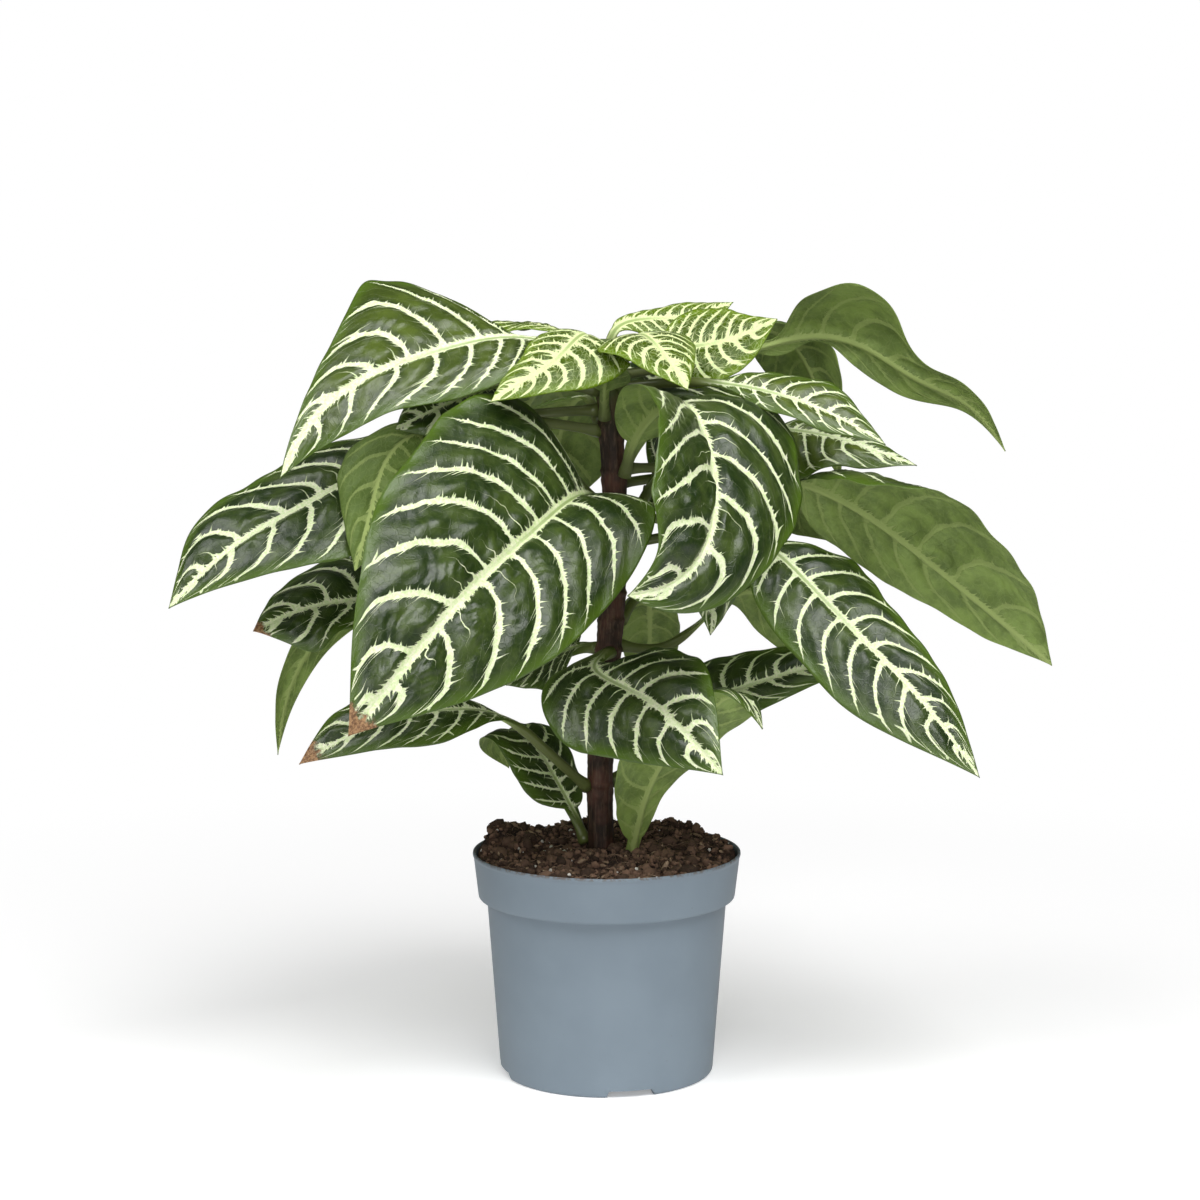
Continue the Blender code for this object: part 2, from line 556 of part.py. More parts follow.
def leaf_rings(shape):
    """Closed rings of points along one leaf: round along the stalk, thin and wide in the blade.

    Each half of the blade is an arc that leaves the midrib at the fold angle and bends by the
    curl angle to its margin. The underside is the same arc one thickness lower, with a keel
    under the midrib that carries on from the stalk.
    """
    curve, marks = smooth_path(shape["path"], PATH_STEPS)
    base = marks[shape["blade_from"]]
    along, up, right = carried_frame(curve)
    large = max(shape["left"]) + max(shape["right"]) > LARGE_BLADE
    even = np.linspace(0, 1, (LARGE_BLADE_STATIONS if large else BLADE_STATIONS))
    crowded = 0.5 * (1 - np.cos(np.pi * even))
    blade = (1 - END_CROWDING) * even + END_CROWDING * crowded
    stalk = np.linspace(0, base, STALK_STATIONS + 1)[:-1]
    spots = np.concatenate([stalk, base + (1 - base) * blade])
    grid = np.linspace(0, 1, len(curve))
    centre, up, right = (
        np.stack([np.interp(spots, grid, field[:, k]) for k in range(3)], 1)
        for field in (curve, up, right)
    )
    q = np.clip((spots - base) / (1 - base), 0, 1)
    roll = np.radians(ease(q, shape["roll"]))[:, None]
    out = up * np.cos(roll) - right * np.sin(roll)
    side = right * np.cos(roll) + up * np.sin(roll)

    taper = np.maximum(STALK_RADIUS * (1 - q) ** STALK_TAPER, TIP_HALF_WIDTH)
    widths = [np.maximum(ease(q**WIDTH_CROWDING, shape[side_name]), taper)
              for side_name in ("left", "right")]
    folds = [np.radians(ease(q, values)) for values in shape["fold"]]
    curls = [np.radians(ease(q, values)) for values in shape["curl"]]
    mean = (widths[0] + widths[1]) / 2
    height, count = shape["wave"]
    swell = height * np.sin(np.pi * q) ** 0.7 * mean / mean.max()

    def spot_on(u, lift):
        half = int(u > 0)
        sign = 1 if u > 0 else -1
        fold, curl, width = folds[half], curls[half], widths[half]
        lean = fold - curl * abs(u)
        x = sign * width * (np.sin(fold) - np.sin(lean)) / curl
        y = width * (np.cos(lean) - np.cos(fold)) / curl
        y = y + swell * u * u * np.sin(2 * np.pi * (count * q + HALF_WAVE_SHIFT * half))
        tilt = lean * sign if u else 0 * lean
        return x - lift * np.sin(tilt), y + lift * np.cos(tilt)

    spread = (0.34, 0.68, 1.0) if large else (0.52, 1.0)
    upper = [-u for u in reversed(spread)] + [0] + list(spread)
    keel_depth = KEEL_AT_TIP + (KEEL_AT_BASE - KEEL_AT_TIP) * (1 - q)
    keel = np.minimum(0.8 * keel_depth, 0.4 * np.minimum(widths[0], widths[1]))
    ring = [spot_on(u, THICKNESS / 2) for u in upper]
    ring += [spot_on(u, -THICKNESS / 2) for u in reversed(upper) if u > 0]
    ring += [(keel, -THICKNESS / 2 - keel_depth), (-keel, -THICKNESS / 2 - keel_depth)]
    ring += [spot_on(u, -THICKNESS / 2) for u in reversed(upper) if u < 0]
    ring = np.array([np.stack([x, y], 1) for x, y in ring]).transpose(1, 0, 2)

    lower_count = ring.shape[1] - len(upper)
    turns = np.radians(np.concatenate([np.linspace(160, 20, len(upper)),
                                       np.linspace(-20, -160, lower_count)]))
    round_stalk = STALK_RADIUS * np.stack([np.cos(turns), np.sin(turns)], 1)
    is_blade = (np.arange(len(spots)) > len(stalk))[:, None, None]
    ring = np.where(is_blade, ring, round_stalk[None])
    return centre[:, None] + ring[:, :, :1] * side[:, None] + ring[:, :, 1:] * out[:, None]


def loft(name, rings):
    """A closed mesh: the rings joined in order, and each end closed by a fan of triangles."""
    bm = bmesh.new()
    rows = [[bm.verts.new(point * MM) for point in ring] for ring in rings]
    for row, after in zip(rows, rows[1:]):
        for i, vert in enumerate(row):
            j = (i + 1) % len(row)
            bm.faces.new((vert, row[j], after[j], after[i]))
    for row, ring in ((rows[0], rings[0]), (rows[-1], rings[-1])):
        middle = bm.verts.new(ring.mean(axis=0) * MM)
        for i, vert in enumerate(row):
            bm.faces.new((vert, row[(i + 1) % len(row)], middle))
    bmesh.ops.recalc_face_normals(bm, faces=bm.faces)
    mesh = mesh_of(bm, name)
    mesh.shade_smooth()
    return mesh


def make_leaves(parts):
    mature = make_material("leaf_mature", MATURE_COLOUR, 0.35)
    young = make_material("leaf_young", YOUNG_COLOUR, 0.35)
    for name, shape in LEAVES.items():
        mesh = loft(name, leaf_rings(shape))
        add_object(name, mesh, parts, young if shape["young"] else mature)


def make_stem(parts):
    """The stem as a bevelled curve, a little thicker at each node, closed by flat caps."""
    points, _ = smooth_path(STEM_PATH, STEM_STATIONS)
    curve = bpy.data.curves.new("stem", "CURVE")
    curve.dimensions = "3D"
    curve.bevel_depth = STEM_RADIUS * MM
    curve.bevel_resolution = STEM_SIDES // 4
    curve.use_fill_caps = True
    spline = curve.splines.new("POLY")
    spline.points.add(len(points) - 1)
    for spot, point in zip(points, spline.points):
        near = max(math.exp(-((spot[2] - height) / NODE_SPREAD) ** 2) for height in STEM_NODES)
        point.co = (*(spot * MM), 1.0)
        point.radius = (STEM_RADIUS + NODE_SWELL * near) / STEM_RADIUS
    add_object("stem", curve, parts, make_material("stem", STEM_COLOUR, 0.6))


def main():
    for obj in list(bpy.data.objects):
        bpy.data.objects.remove(obj)
    parts = make_collection("potted_zebra_plant")
    cutters = make_collection("cutters")
    make_pot(parts, cutters)
    make_soil(parts, cutters)
    make_stem(parts)
    make_leaves(parts)


main()
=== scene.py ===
import math

import bmesh
import bpy
import numpy as np
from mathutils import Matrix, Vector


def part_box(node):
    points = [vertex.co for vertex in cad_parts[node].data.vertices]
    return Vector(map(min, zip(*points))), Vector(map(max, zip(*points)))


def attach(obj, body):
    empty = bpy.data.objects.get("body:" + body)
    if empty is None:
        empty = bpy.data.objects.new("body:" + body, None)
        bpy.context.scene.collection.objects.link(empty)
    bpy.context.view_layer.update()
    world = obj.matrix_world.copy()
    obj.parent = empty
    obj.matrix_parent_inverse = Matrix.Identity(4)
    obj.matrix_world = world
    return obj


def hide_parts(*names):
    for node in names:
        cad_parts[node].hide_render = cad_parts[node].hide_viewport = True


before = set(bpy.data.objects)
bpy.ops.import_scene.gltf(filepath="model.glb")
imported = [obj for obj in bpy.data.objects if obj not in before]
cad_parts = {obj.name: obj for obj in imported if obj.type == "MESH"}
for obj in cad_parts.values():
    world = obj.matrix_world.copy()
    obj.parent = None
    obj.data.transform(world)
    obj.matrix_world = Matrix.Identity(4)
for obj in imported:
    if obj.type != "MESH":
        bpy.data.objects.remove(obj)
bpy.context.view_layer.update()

# ---------------------------------------------------------------------------------------------
# Pot. A round nursery pot, injection moulded in one piece from blue-grey plastic about a
# millimetre thick: a plain band round the rim, a small step under it, a tapering wall, and a
# foot ring with four notches round a raised floor that has six drain holes.
# ---------------------------------------------------------------------------------------------

MM = 0.001
pot_low, pot_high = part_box("pot")
RIM_RADIUS = (pot_high.x - pot_low.x) / 2 / MM
POT_HEIGHT = pot_high.z / MM
BAND_FOOT_RADIUS = RIM_RADIUS - 2.6
SHOULDER_RADIUS = RIM_RADIUS - 6.3
FOOT_RADIUS = RIM_RADIUS - 12.2
BAND_LOWER_EDGE = POT_HEIGHT - 20.4
WALL = 1.2
STEP_DROP = 1.6          # the inside narrows over this height, ending this far below the band
STEP_RISE = 1.0          # and starting this far above the band's lower edge
LIP_HEIGHT = 2.2         # the rim ends in a small bead of this height
LIP_PROUD = 0.45         # that stands out from the band by this much
FOOT_RING = 3.0          # width of the ring under the wall
FLOOR_HEIGHT = 3.0       # underside of the raised floor
PAD_RADIUS = 15.0        # flat centre pad that reaches the ground
PAD_SLOPE = 2.0          # the floor falls to the pad over this width
NOTCH_COUNT = 4
NOTCH_WIDTH = 22.0
NOTCH_SIDE = 1.2         # a notch's side slopes over this length of the ring
NOTCH_TURN = math.radians(13 - 90)
DRAIN_COUNT = 6
DRAIN_RADIUS = 4.5
DRAIN_CIRCLE = 34.0
POT_STEPS = 300
PLASTIC_DARK = (0.180, 0.228, 0.272)
PLASTIC_LIGHT = (0.196, 0.247, 0.293)
SOIL_DUST = (0.115, 0.075, 0.055)


def rounded(corners, steps=5):
    """An outline of (radius, height) with each inner corner rounded.

    Each corner is (radius, height, cut): the line turns on a parabola from cut before the
    corner to cut after it, so p(t) = (1-t)^2 a + 2t(1-t) corner + t^2 b.
    """
    outline = [np.array(corners[0][:2], float)]
    for before, corner, after in zip(corners, corners[1:], corners[2:]):
        middle = np.array(corner[:2], float)
        inward = np.array(before[:2], float) - middle
        onward = np.array(after[:2], float) - middle
        a = middle + inward / np.linalg.norm(inward) * corner[2]
        b = middle + onward / np.linalg.norm(onward) * corner[2]
        t = np.linspace(0, 1, steps)[:, None]
        outline += list((1 - t) ** 2 * a + 2 * t * (1 - t) * middle + t**2 * b)
    outline.append(np.array(corners[-1][:2], float))
    return np.array(outline)


def with_runs(outline, longest):
    """The outline with extra points, so that no straight run is longer than this."""
    points = [outline[:1]]
    for start, end in zip(outline, outline[1:]):
        count = max(1, math.ceil(np.linalg.norm(end - start) / longest))
        points.append(start + (end - start) * np.linspace(0, 1, count + 1)[1:, None])
    return np.concatenate(points)


def turned(outline, count):
    """Points of a turned surface: x = r cos a, y = r sin a, z = height, for count angles a."""
    angle = np.linspace(0, 2 * np.pi, count, endpoint=False)
    radius, height = outline[:, :1], outline[:, 1:]
    return np.stack([radius * np.cos(angle), radius * np.sin(angle),
                     height + 0 * angle], axis=2)


def grid_faces(rows, columns):
    """Four-cornered faces between the points of a grid whose columns join up all round."""
    row, column = np.meshgrid(np.arange(rows - 1), np.arange(columns), indexing="ij")
    after = (column + 1) % columns
    faces = np.stack([row * columns + column, row * columns + after,
                      (row + 1) * columns + after, (row + 1) * columns + column], axis=2)
    return faces.reshape(-1, 4)


def make_mesh(name, points, faces):
    """A smooth mesh in metres from points in millimetres, with its doubles merged."""
    mesh = bpy.data.meshes.new(name)
    mesh.from_pydata((points.reshape(-1, 3) * MM).tolist(), [], faces.tolist())
    work = bmesh.new()
    work.from_mesh(mesh)
    bmesh.ops.remove_doubles(work, verts=work.verts, dist=0.000001)
    bmesh.ops.recalc_face_normals(work, faces=work.faces)
    work.to_mesh(mesh)
    work.free()
    mesh.shade_smooth()
    return mesh


def add_piece(name, mesh, material, slot, *nodes):
    """The piece as an object that rides with the plant and stands for these nodes."""
    obj = bpy.data.objects.new(name, mesh)
    bpy.context.scene.collection.objects.link(obj)
    mesh.materials.append(material)
    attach(obj, "root")
    if nodes:
        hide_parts(*nodes)
    return obj


class Flow:
    """A number that changes over a surface. Arithmetic on it adds Math nodes to its tree."""

    def __init__(self, tree, socket):
        self.tree = tree
        self.socket = socket

    def math(self, operation, *others):
        """This number and the others through one Math node."""
        node = self.tree.nodes.new("ShaderNodeMath")
        node.operation = operation
        for socket, value in zip(node.inputs, (self, *others)):
            feed(self.tree, socket, value)
        return Flow(self.tree, node.outputs[0])

    def __add__(self, other):
        return self.math("ADD", other)

    def __sub__(self, other):
        return self.math("SUBTRACT", other)

    def __rsub__(self, other):
        return (self * -1.0) + other

    def __mul__(self, other):
        return self.math("MULTIPLY", other)

    def __truediv__(self, other):
        return self.math("DIVIDE", other)

    def __pow__(self, other):
        return self.math("POWER", other)

    def __abs__(self):
        return self.math("ABSOLUTE")

    __radd__ = __add__
    __rmul__ = __mul__

    def most(self, other):
        """The larger of the two."""
        return self.math("MAXIMUM", other)

    def least(self, other):
        """The smaller of the two."""
        return self.math("MINIMUM", other)

    def rise(self, low, high):
        """0 below low, 1 above high, and a smooth step between."""
        node = self.tree.nodes.new("ShaderNodeMapRange")
        node.interpolation_type = "SMOOTHSTEP"
        feed(self.tree, node.inputs["Value"], self)
        feed(self.tree, node.inputs["From Min"], low)
        feed(self.tree, node.inputs["From Max"], high)
        return Flow(self.tree, node.outputs["Result"])


def feed(tree, socket, value):
    """Links a Flow or a socket to this input, or sets the input to a plain value."""
    if isinstance(value, Flow):
        value = value.socket
    if isinstance(value, bpy.types.NodeSocket):
        tree.links.new(value, socket)
    else:
        socket.default_value = value


def split(tree, socket):
    """The three numbers of a vector."""
    node = tree.nodes.new("ShaderNodeSeparateXYZ")
    tree.links.new(socket, node.inputs[0])
    return [Flow(tree, output) for output in node.outputs]


def noise(tree, where, scale, detail, roughness=0.5):
    """Smooth noise round 0.5, with this many patches to a unit and this much finer detail."""
    node = tree.nodes.new("ShaderNodeTexNoise")
    tree.links.new(where, node.inputs["Vector"])
    node.inputs["Scale"].default_value = scale
    node.inputs["Detail"].default_value = detail
    node.inputs["Roughness"].default_value = roughness
    return Flow(tree, node.outputs["Fac"])


def blended(tree, amount, first, second):
    """The colour first where amount is 0 and second where it is 1."""
    node = tree.nodes.new("ShaderNodeMix")
    node.data_type = "RGBA"
    feed(tree, node.inputs["Factor"], amount)
    for socket, value in ((node.inputs["A"], first), (node.inputs["B"], second)):
        feed(tree, socket, (*value, 1.0) if isinstance(value, tuple) else value)
    return node.outputs["Result"]


def object_place(tree):
    """Object coordinates in millimetres."""
    coordinates = tree.nodes.new("ShaderNodeTexCoord")
    scale = tree.nodes.new("ShaderNodeVectorMath")
    scale.operation = "SCALE"
    scale.inputs["Scale"].default_value = 1 / MM
    tree.links.new(coordinates.outputs["Object"], scale.inputs[0])
    return scale.outputs[0]


def bumped(tree, height, strength, depth=MM):
    """The surface normal turned by a height; depth is what a height of 1 stands for."""
    node = tree.nodes.new("ShaderNodeBump")
    node.inputs["Strength"].default_value = strength
    node.inputs["Distance"].default_value = depth
    feed(tree, node.inputs["Height"], height)
    return node.outputs["Normal"]


def new_material(name):
    """A material with its tree and its Principled shader."""
    material = bpy.data.materials.new(name)
    material.use_nodes = True
    return material, material.node_tree, material.node_tree.nodes["Principled BSDF"]


def pot_outline():
    """The pot's section, from the middle of its inner floor over the rim to its underside."""
    floor_top = FLOOR_HEIGHT + WALL
    slope = (SHOULDER_RADIUS - FOOT_RADIUS) / BAND_LOWER_EDGE
    corners = [
        (0, WALL, 0),
        (PAD_RADIUS + 0.6, WALL, 0.6),
        (PAD_RADIUS + PAD_SLOPE + 0.6, floor_top, 0.6),
        (FOOT_RADIUS + slope * floor_top - WALL, floor_top, 1.0),
        (SHOULDER_RADIUS - WALL - 0.1, BAND_LOWER_EDGE - STEP_DROP, 1.0),
        (BAND_FOOT_RADIUS + 0.1 - WALL, BAND_LOWER_EDGE + STEP_RISE, 1.0),
        (RIM_RADIUS - WALL - 0.2, POT_HEIGHT - 0.4, 0.6),
        (RIM_RADIUS - WALL + 0.3, POT_HEIGHT, 0.3),
        (RIM_RADIUS - 0.1, POT_HEIGHT, 0.45),
        (RIM_RADIUS, POT_HEIGHT - 1.3, 0.4),
        (RIM_RADIUS - LIP_PROUD, POT_HEIGHT - LIP_HEIGHT, 0.4),
        (BAND_FOOT_RADIUS, BAND_LOWER_EDGE, 0.9),
        (SHOULDER_RADIUS, BAND_LOWER_EDGE - 0.5, 0.7),
        (FOOT_RADIUS, 0, 1.6),
        (FOOT_RADIUS - FOOT_RING, 0, 0.5),
        (FOOT_RADIUS - FOOT_RING - 0.6, FLOOR_HEIGHT, 0.6),
        (PAD_RADIUS + PAD_SLOPE, FLOOR_HEIGHT, 0.6),
        (PAD_RADIUS, 0, 0.5),
        (0, 0, 0),
    ]
    return with_runs(rounded(corners), 4.0)


def notched(points):
    """Lifts the foot ring at the notches: z is at least the notch's height inside its width.

    A notch's side slopes, so its height is the floor's height * (half width - aside) / side,
    held between 0 and the floor's height, where aside is the way along the ring from its middle.
    """
    x, y, z = points[..., 0], points[..., 1], points[..., 2]
    radius = np.hypot(x, y)
    from_notch = NOTCH_COUNT * (np.arctan2(y, x) - NOTCH_TURN)
    turn = np.angle(np.exp(1j * from_notch)) / NOTCH_COUNT
    aside = np.abs(turn) * FOOT_RADIUS
    lift = FLOOR_HEIGHT * np.clip((NOTCH_WIDTH / 2 - aside) / NOTCH_SIDE, 0, 1)
    on_foot = radius > PAD_RADIUS + 8
    points[..., 2] = np.where(on_foot & (z < lift), lift, z)
    return points


def drained(mesh):
    """The mesh with the drain holes cut through its floor."""
    pot = bpy.data.objects.new("uncut", mesh)
    work = bmesh.new()
    for index in range(DRAIN_COUNT):
        angle = NOTCH_TURN + 2 * math.pi * (index + 0.5) / DRAIN_COUNT
        made = bmesh.ops.create_cone(
            work, cap_ends=True, segments=40, radius1=DRAIN_RADIUS * MM,
            radius2=DRAIN_RADIUS * MM, depth=4 * WALL * MM)
        bmesh.ops.translate(work, verts=made["verts"], vec=(
            DRAIN_CIRCLE * MM * math.cos(angle), DRAIN_CIRCLE * MM * math.sin(angle),
            (FLOOR_HEIGHT + WALL / 2) * MM))
    holes = bpy.data.meshes.new("drain_holes")
    work.to_mesh(holes)
    work.free()
    cutter = bpy.data.objects.new("drain_cutter", holes)
    for obj in (pot, cutter):
        bpy.context.scene.collection.objects.link(obj)
    cut = pot.modifiers.new("Drain", "BOOLEAN")
    cut.solver = "EXACT"
    cut.object = cutter
    graph = bpy.context.evaluated_depsgraph_get()
    made = bpy.data.meshes.new_from_object(pot.evaluated_get(graph))
    for obj in (pot, cutter):
        bpy.data.objects.remove(obj)
    made.shade_smooth()
    made.set_sharp_from_angle(angle=math.radians(50))
    return made


def pot_plastic():
    """Satin plastic: a faint mottle, soil dust along the rim and a few specks of it all over."""
    material, tree, shader = new_material("pot_plastic")
    place = object_place(tree)
    height = split(tree, place)[2]
    cloud = noise(tree, place, 0.035, 3.0)
    grain = noise(tree, place, 2.2, 2.0)
    plain = blended(tree, cloud.rise(0.3, 0.7), PLASTIC_DARK, PLASTIC_LIGHT)
    speck = noise(tree, place, 0.45, 4.0, 0.7)
    near_rim = height.rise(POT_HEIGHT - 1.6, POT_HEIGHT - 0.2)
    dust = near_rim * speck.rise(0.42, 0.6) + speck.rise(0.70, 0.74) * 0.5
    coloured = blended(tree, dust * 0.75, plain, SOIL_DUST)
    feed(tree, shader.inputs["Base Color"], coloured)
    feed(tree, shader.inputs["Roughness"], 0.40 + cloud * 0.12)
    feed(tree, shader.inputs["Normal"], bumped(tree, grain, 0.10, 0.1 * MM))
    shader.inputs["IOR"].default_value = 1.48
    return material


pot_points = notched(turned(pot_outline(), POT_STEPS))
pot_mesh = drained(make_mesh("pot_shell", pot_points, grid_faces(*pot_points.shape[:2])))
add_piece("pot_shell", pot_mesh, pot_plastic(), "pot", "pot")

# ---------------------------------------------------------------------------------------------
# Soil. Dark brown peat that fills the pot to just under its rim, heaped a little at the sides
# and round the stem. Loose on top of it lie crumbs of peat, pale and dark chips of bark, fine
# root fibres and a few white grains of perlite.
# ---------------------------------------------------------------------------------------------

SOIL_EDGE_HEIGHT = POT_HEIGHT - 3.0
SOIL_RADIUS = RIM_RADIUS - WALL - 0.8
SOIL_GAP = 0.4           # between the root ball and the wall
SOIL_EDGE_EASE = 0.8     # the rounded edge beside the wall, inwards
SOIL_EDGE_DROP = 1.5     # and down
SOIL_FADE = 5.0          # heaps and lumps fade out over this width at the rim
COARSE_LUMPS = 0.5
FINE_LUMPS = 0.35
SOIL_RINGS = 84
SOIL_STEPS = 360
STEM_FOOT = (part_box("stem")[0].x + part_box("stem")[1].x) / 2 / MM - 0.5
STEM_CLEAR = 7.5         # loose bits keep this far from the middle of the stem's foot
LOOSE_REACH = 56.0       # and within this radius
FIBRE_REACH = 52.0       # where a root fibre starts
SOIL_HEAPS = (           # across, back, rise and spread of each heap
    (-47, 18, 10.5, 13),
    (30, 34, 7.5, 13),
    (-8, 38, 8.0, 14),
    (3, -3, 6.0, 16),
    (50, 6, 4.0, 12),
)
PEAT_BLACK = (0.014, 0.007, 0.005)
PEAT_BROWN = (0.070, 0.037, 0.024)
PEAT_LIT = (0.195, 0.122, 0.084)


def soil_height(x, y):
    """Height of the soil's top: heaps, and lumps of three sizes from crossed sine waves.

    A heap is rise * exp(-distance^2 / (2 spread^2)). A lump wave is sin(x/w + sin(y/v)), and
    everything fades out beside the pot's wall.
    """
    rise = sum(lift * np.exp(-((x - across) ** 2 + (y - back) ** 2) / (2 * spread**2))
               for across, back, lift, spread in SOIL_HEAPS)
    coarse = (np.sin(x / 3.9 + 0.7 * np.sin(y / 6.1)) + np.sin(y / 4.3 + 0.9 * np.sin(x / 7.3))
              + np.sin((x + y) / 5.7))
    fine = (np.sin(x / 0.8 + 2.1 * np.sin(y / 1.7)) * np.sin(y / 0.9 + 1.9 * np.sin(x / 1.5))
            + 0.6 * np.sin((x - y) / 0.53 + 2.0 * np.sin((x + y) / 1.1)))
    fade = np.clip((RIM_RADIUS - np.hypot(x, y)) / SOIL_FADE, 0, 1)
    return SOIL_EDGE_HEIGHT + fade * (rise + COARSE_LUMPS * coarse + FINE_LUMPS * fine)


def root_ball():
    """Grid points of the root ball: its top in rings, then its side and its flat underside."""
    floor_top = FLOOR_HEIGHT + WALL + SOIL_GAP
    foot = FOOT_RADIUS + (SHOULDER_RADIUS - FOOT_RADIUS) * floor_top / BAND_LOWER_EDGE
    outline = np.array([
        (SOIL_RADIUS - SOIL_EDGE_EASE, SOIL_EDGE_HEIGHT - SOIL_EDGE_DROP),
        (BAND_FOOT_RADIUS - WALL - SOIL_GAP, BAND_LOWER_EDGE + STEP_RISE + SOIL_GAP),
        (SHOULDER_RADIUS - WALL - SOIL_GAP, BAND_LOWER_EDGE - STEP_DROP),
        (foot - WALL - SOIL_GAP, floor_top),
        (0, floor_top),
    ])
    side = turned(with_runs(outline, 3.0), SOIL_STEPS)
    radius = np.linspace(0.01, 1, SOIL_RINGS) * (SOIL_RADIUS - SOIL_GAP)
    top = turned(np.stack([radius, 0 * radius], axis=1), SOIL_STEPS)
    top[..., 2] = soil_height(top[..., 0], top[..., 1])
    return np.concatenate([top, side])


def scatter(count, rng, reach=LOOSE_REACH):
    """Even random places on the soil: x, y on a disc, outside the stem, and z on the soil."""
    angle = rng.uniform(0, 2 * np.pi, count)
    radius = np.sqrt(rng.uniform(STEM_CLEAR**2, reach**2, count))
    x, y = radius * np.cos(angle) + STEM_FOOT, radius * np.sin(angle)
    inside = np.minimum(1, reach / np.hypot(x, y))
    x, y = x * inside, y * inside
    return np.stack([x, y, soil_height(x, y)], axis=1)


def spun(count, rng):
    """Random rotation matrices, each the product of a turn about Z, about X and about Y."""
    turn = rng.uniform(0, 2 * np.pi, count)
    tip, sway = rng.uniform(-np.pi, np.pi, (2, count))
    zero, one = np.zeros(count), np.ones(count)
    about_z = np.array([[np.cos(turn), -np.sin(turn), zero],
                        [np.sin(turn), np.cos(turn), zero], [zero, zero, one]])
    about_x = np.array([[one, zero, zero], [zero, np.cos(tip), -np.sin(tip)],
                        [zero, np.sin(tip), np.cos(tip)]])
    about_y = np.array([[np.cos(sway), zero, np.sin(sway)], [zero, one, zero],
                        [-np.sin(sway), zero, np.cos(sway)]])
    return np.einsum("ijn,jkn,kln->nil", about_z, about_x, about_y)


def lump_grid():
    """A unit ball as a grid of 5 rings of 7, so that one lump has 56 triangles."""
    angle = np.linspace(0, 2 * np.pi, 7, endpoint=False)
    height = np.array([-1, -0.62, 0.0, 0.62, 1])[:, None]
    ring = np.sqrt(np.maximum(1 - height**2, 0.0004))
    return np.stack([ring * np.cos(angle), ring * np.sin(angle), height + 0 * angle], axis=2)


def scattered_mesh(name, shapes, faces, tones):
    """One mesh of many small shapes, closed at their ends, with the tone of each on its points."""
    count, points = shapes.shape[0], shapes.shape[1]
    offsets = (np.arange(count) * points)[:, None, None]
    mesh = bpy.data.meshes.new(name)
    mesh.from_pydata((shapes.reshape(-1, 3) * MM).tolist(), [],
                     (faces[None] + offsets).reshape(-1, faces.shape[1]).tolist())
    tone = mesh.attributes.new("tone", "FLOAT", "POINT")
    tone.data.foreach_set("value", np.repeat(tones, points))
    work = bmesh.new()
    work.from_mesh(mesh)
    bmesh.ops.holes_fill(work, edges=work.edges, sides=12)
    bmesh.ops.recalc_face_normals(work, faces=work.faces)
    work.to_mesh(mesh)
    work.free()
    mesh.shade_smooth()
    return mesh


def lumps(name, count, seed, sizes, squash, sink, tone_range):
    """Lumps on the soil: unit balls made uneven, scaled, spun and sunk in by part of their size."""
    rng = np.random.default_rng(seed)
    grid = lump_grid()
    ball = grid.reshape(-1, 3)
    uneven = ball[None] * rng.uniform(0.72, 1.2, (count, len(ball), 1))
    size = rng.uniform(*sizes, count) * rng.uniform(0.6, 1.0, count)
    stretch = np.stack([size, size * rng.uniform(*squash, count),
                        size * rng.uniform(*squash, count)], axis=1)
    shapes = np.einsum("nij,nkj->nki", spun(count, rng), uneven * stretch[:, None])
    place = scatter(count, rng)
    place[:, 2] += size * rng.uniform(*sink, count)
    return scattered_mesh(name, shapes + place[:, None], grid_faces(*grid.shape[:2]),
                          rng.uniform(*tone_range, count))


def fibres(name, count, seed):
    """Root fibres: three-sided tubes along short random arcs that lie on the soil."""
    rng = np.random.default_rng(seed)
    steps = np.linspace(0, 1, 9)
    start = scatter(count, rng, FIBRE_REACH)
    heading = rng.uniform(0, 2 * np.pi, count)[:, None]
    turn = rng.normal(0, 1.6, count)[:, None]
    length = rng.uniform(4, 15, count)[:, None]
    angle = heading + turn * steps
    step = length / len(steps)
    x = start[:, :1] + np.cumsum(np.cos(angle) * step, axis=1)
    y = start[:, 1:2] + np.cumsum(np.sin(angle) * step, axis=1)
    inside = np.minimum(1, LOOSE_REACH / np.hypot(x, y))
    x, y = x * inside, y * inside
    arch = rng.uniform(0.1, 1.4, count)[:, None] * np.sin(np.pi * steps)
    z = soil_height(x, y) + 0.25 + arch
    radius = rng.uniform(0.09, 0.26, count)[:, None] * (1 - 0.6 * steps)
    around = np.radians([90, 210, 330])
    across = np.stack([-np.sin(angle), np.cos(angle)], axis=2)
    tube = np.zeros((count, len(steps), 3, 3))
    tube[..., 0] = x[..., None] + radius[..., None] * np.cos(around) * across[..., :1]
    tube[..., 1] = y[..., None] + radius[..., None] * np.cos(around) * across[..., 1:]
    tube[..., 2] = z[..., None] + radius[..., None] * np.sin(around)
    return scattered_mesh(name, tube.reshape(count, -1, 3), grid_faces(len(steps), 3),
                          rng.uniform(0, 1, count))


def peat():
    """Moist peat: near-black to mid brown in clumps, with a rough matt grain."""
    material, tree, shader = new_material("peat")
    place = object_place(tree)
    clump = noise(tree, place, 0.16, 4.0, 0.62)
    grain = noise(tree, place, 1.3, 5.0, 0.7)
    dark = blended(tree, clump.rise(0.35, 0.65), PEAT_BLACK, PEAT_BROWN)
    lit = blended(tree, grain.rise(0.52, 0.74), dark, PEAT_LIT)
    feed(tree, shader.inputs["Base Color"], lit)
    feed(tree, shader.inputs["Normal"], bumped(tree, grain, 0.9, 0.7 * MM))
    shader.inputs["Roughness"].default_value = 0.92
    shader.inputs["Specular IOR Level"].default_value = 0.25
    return material


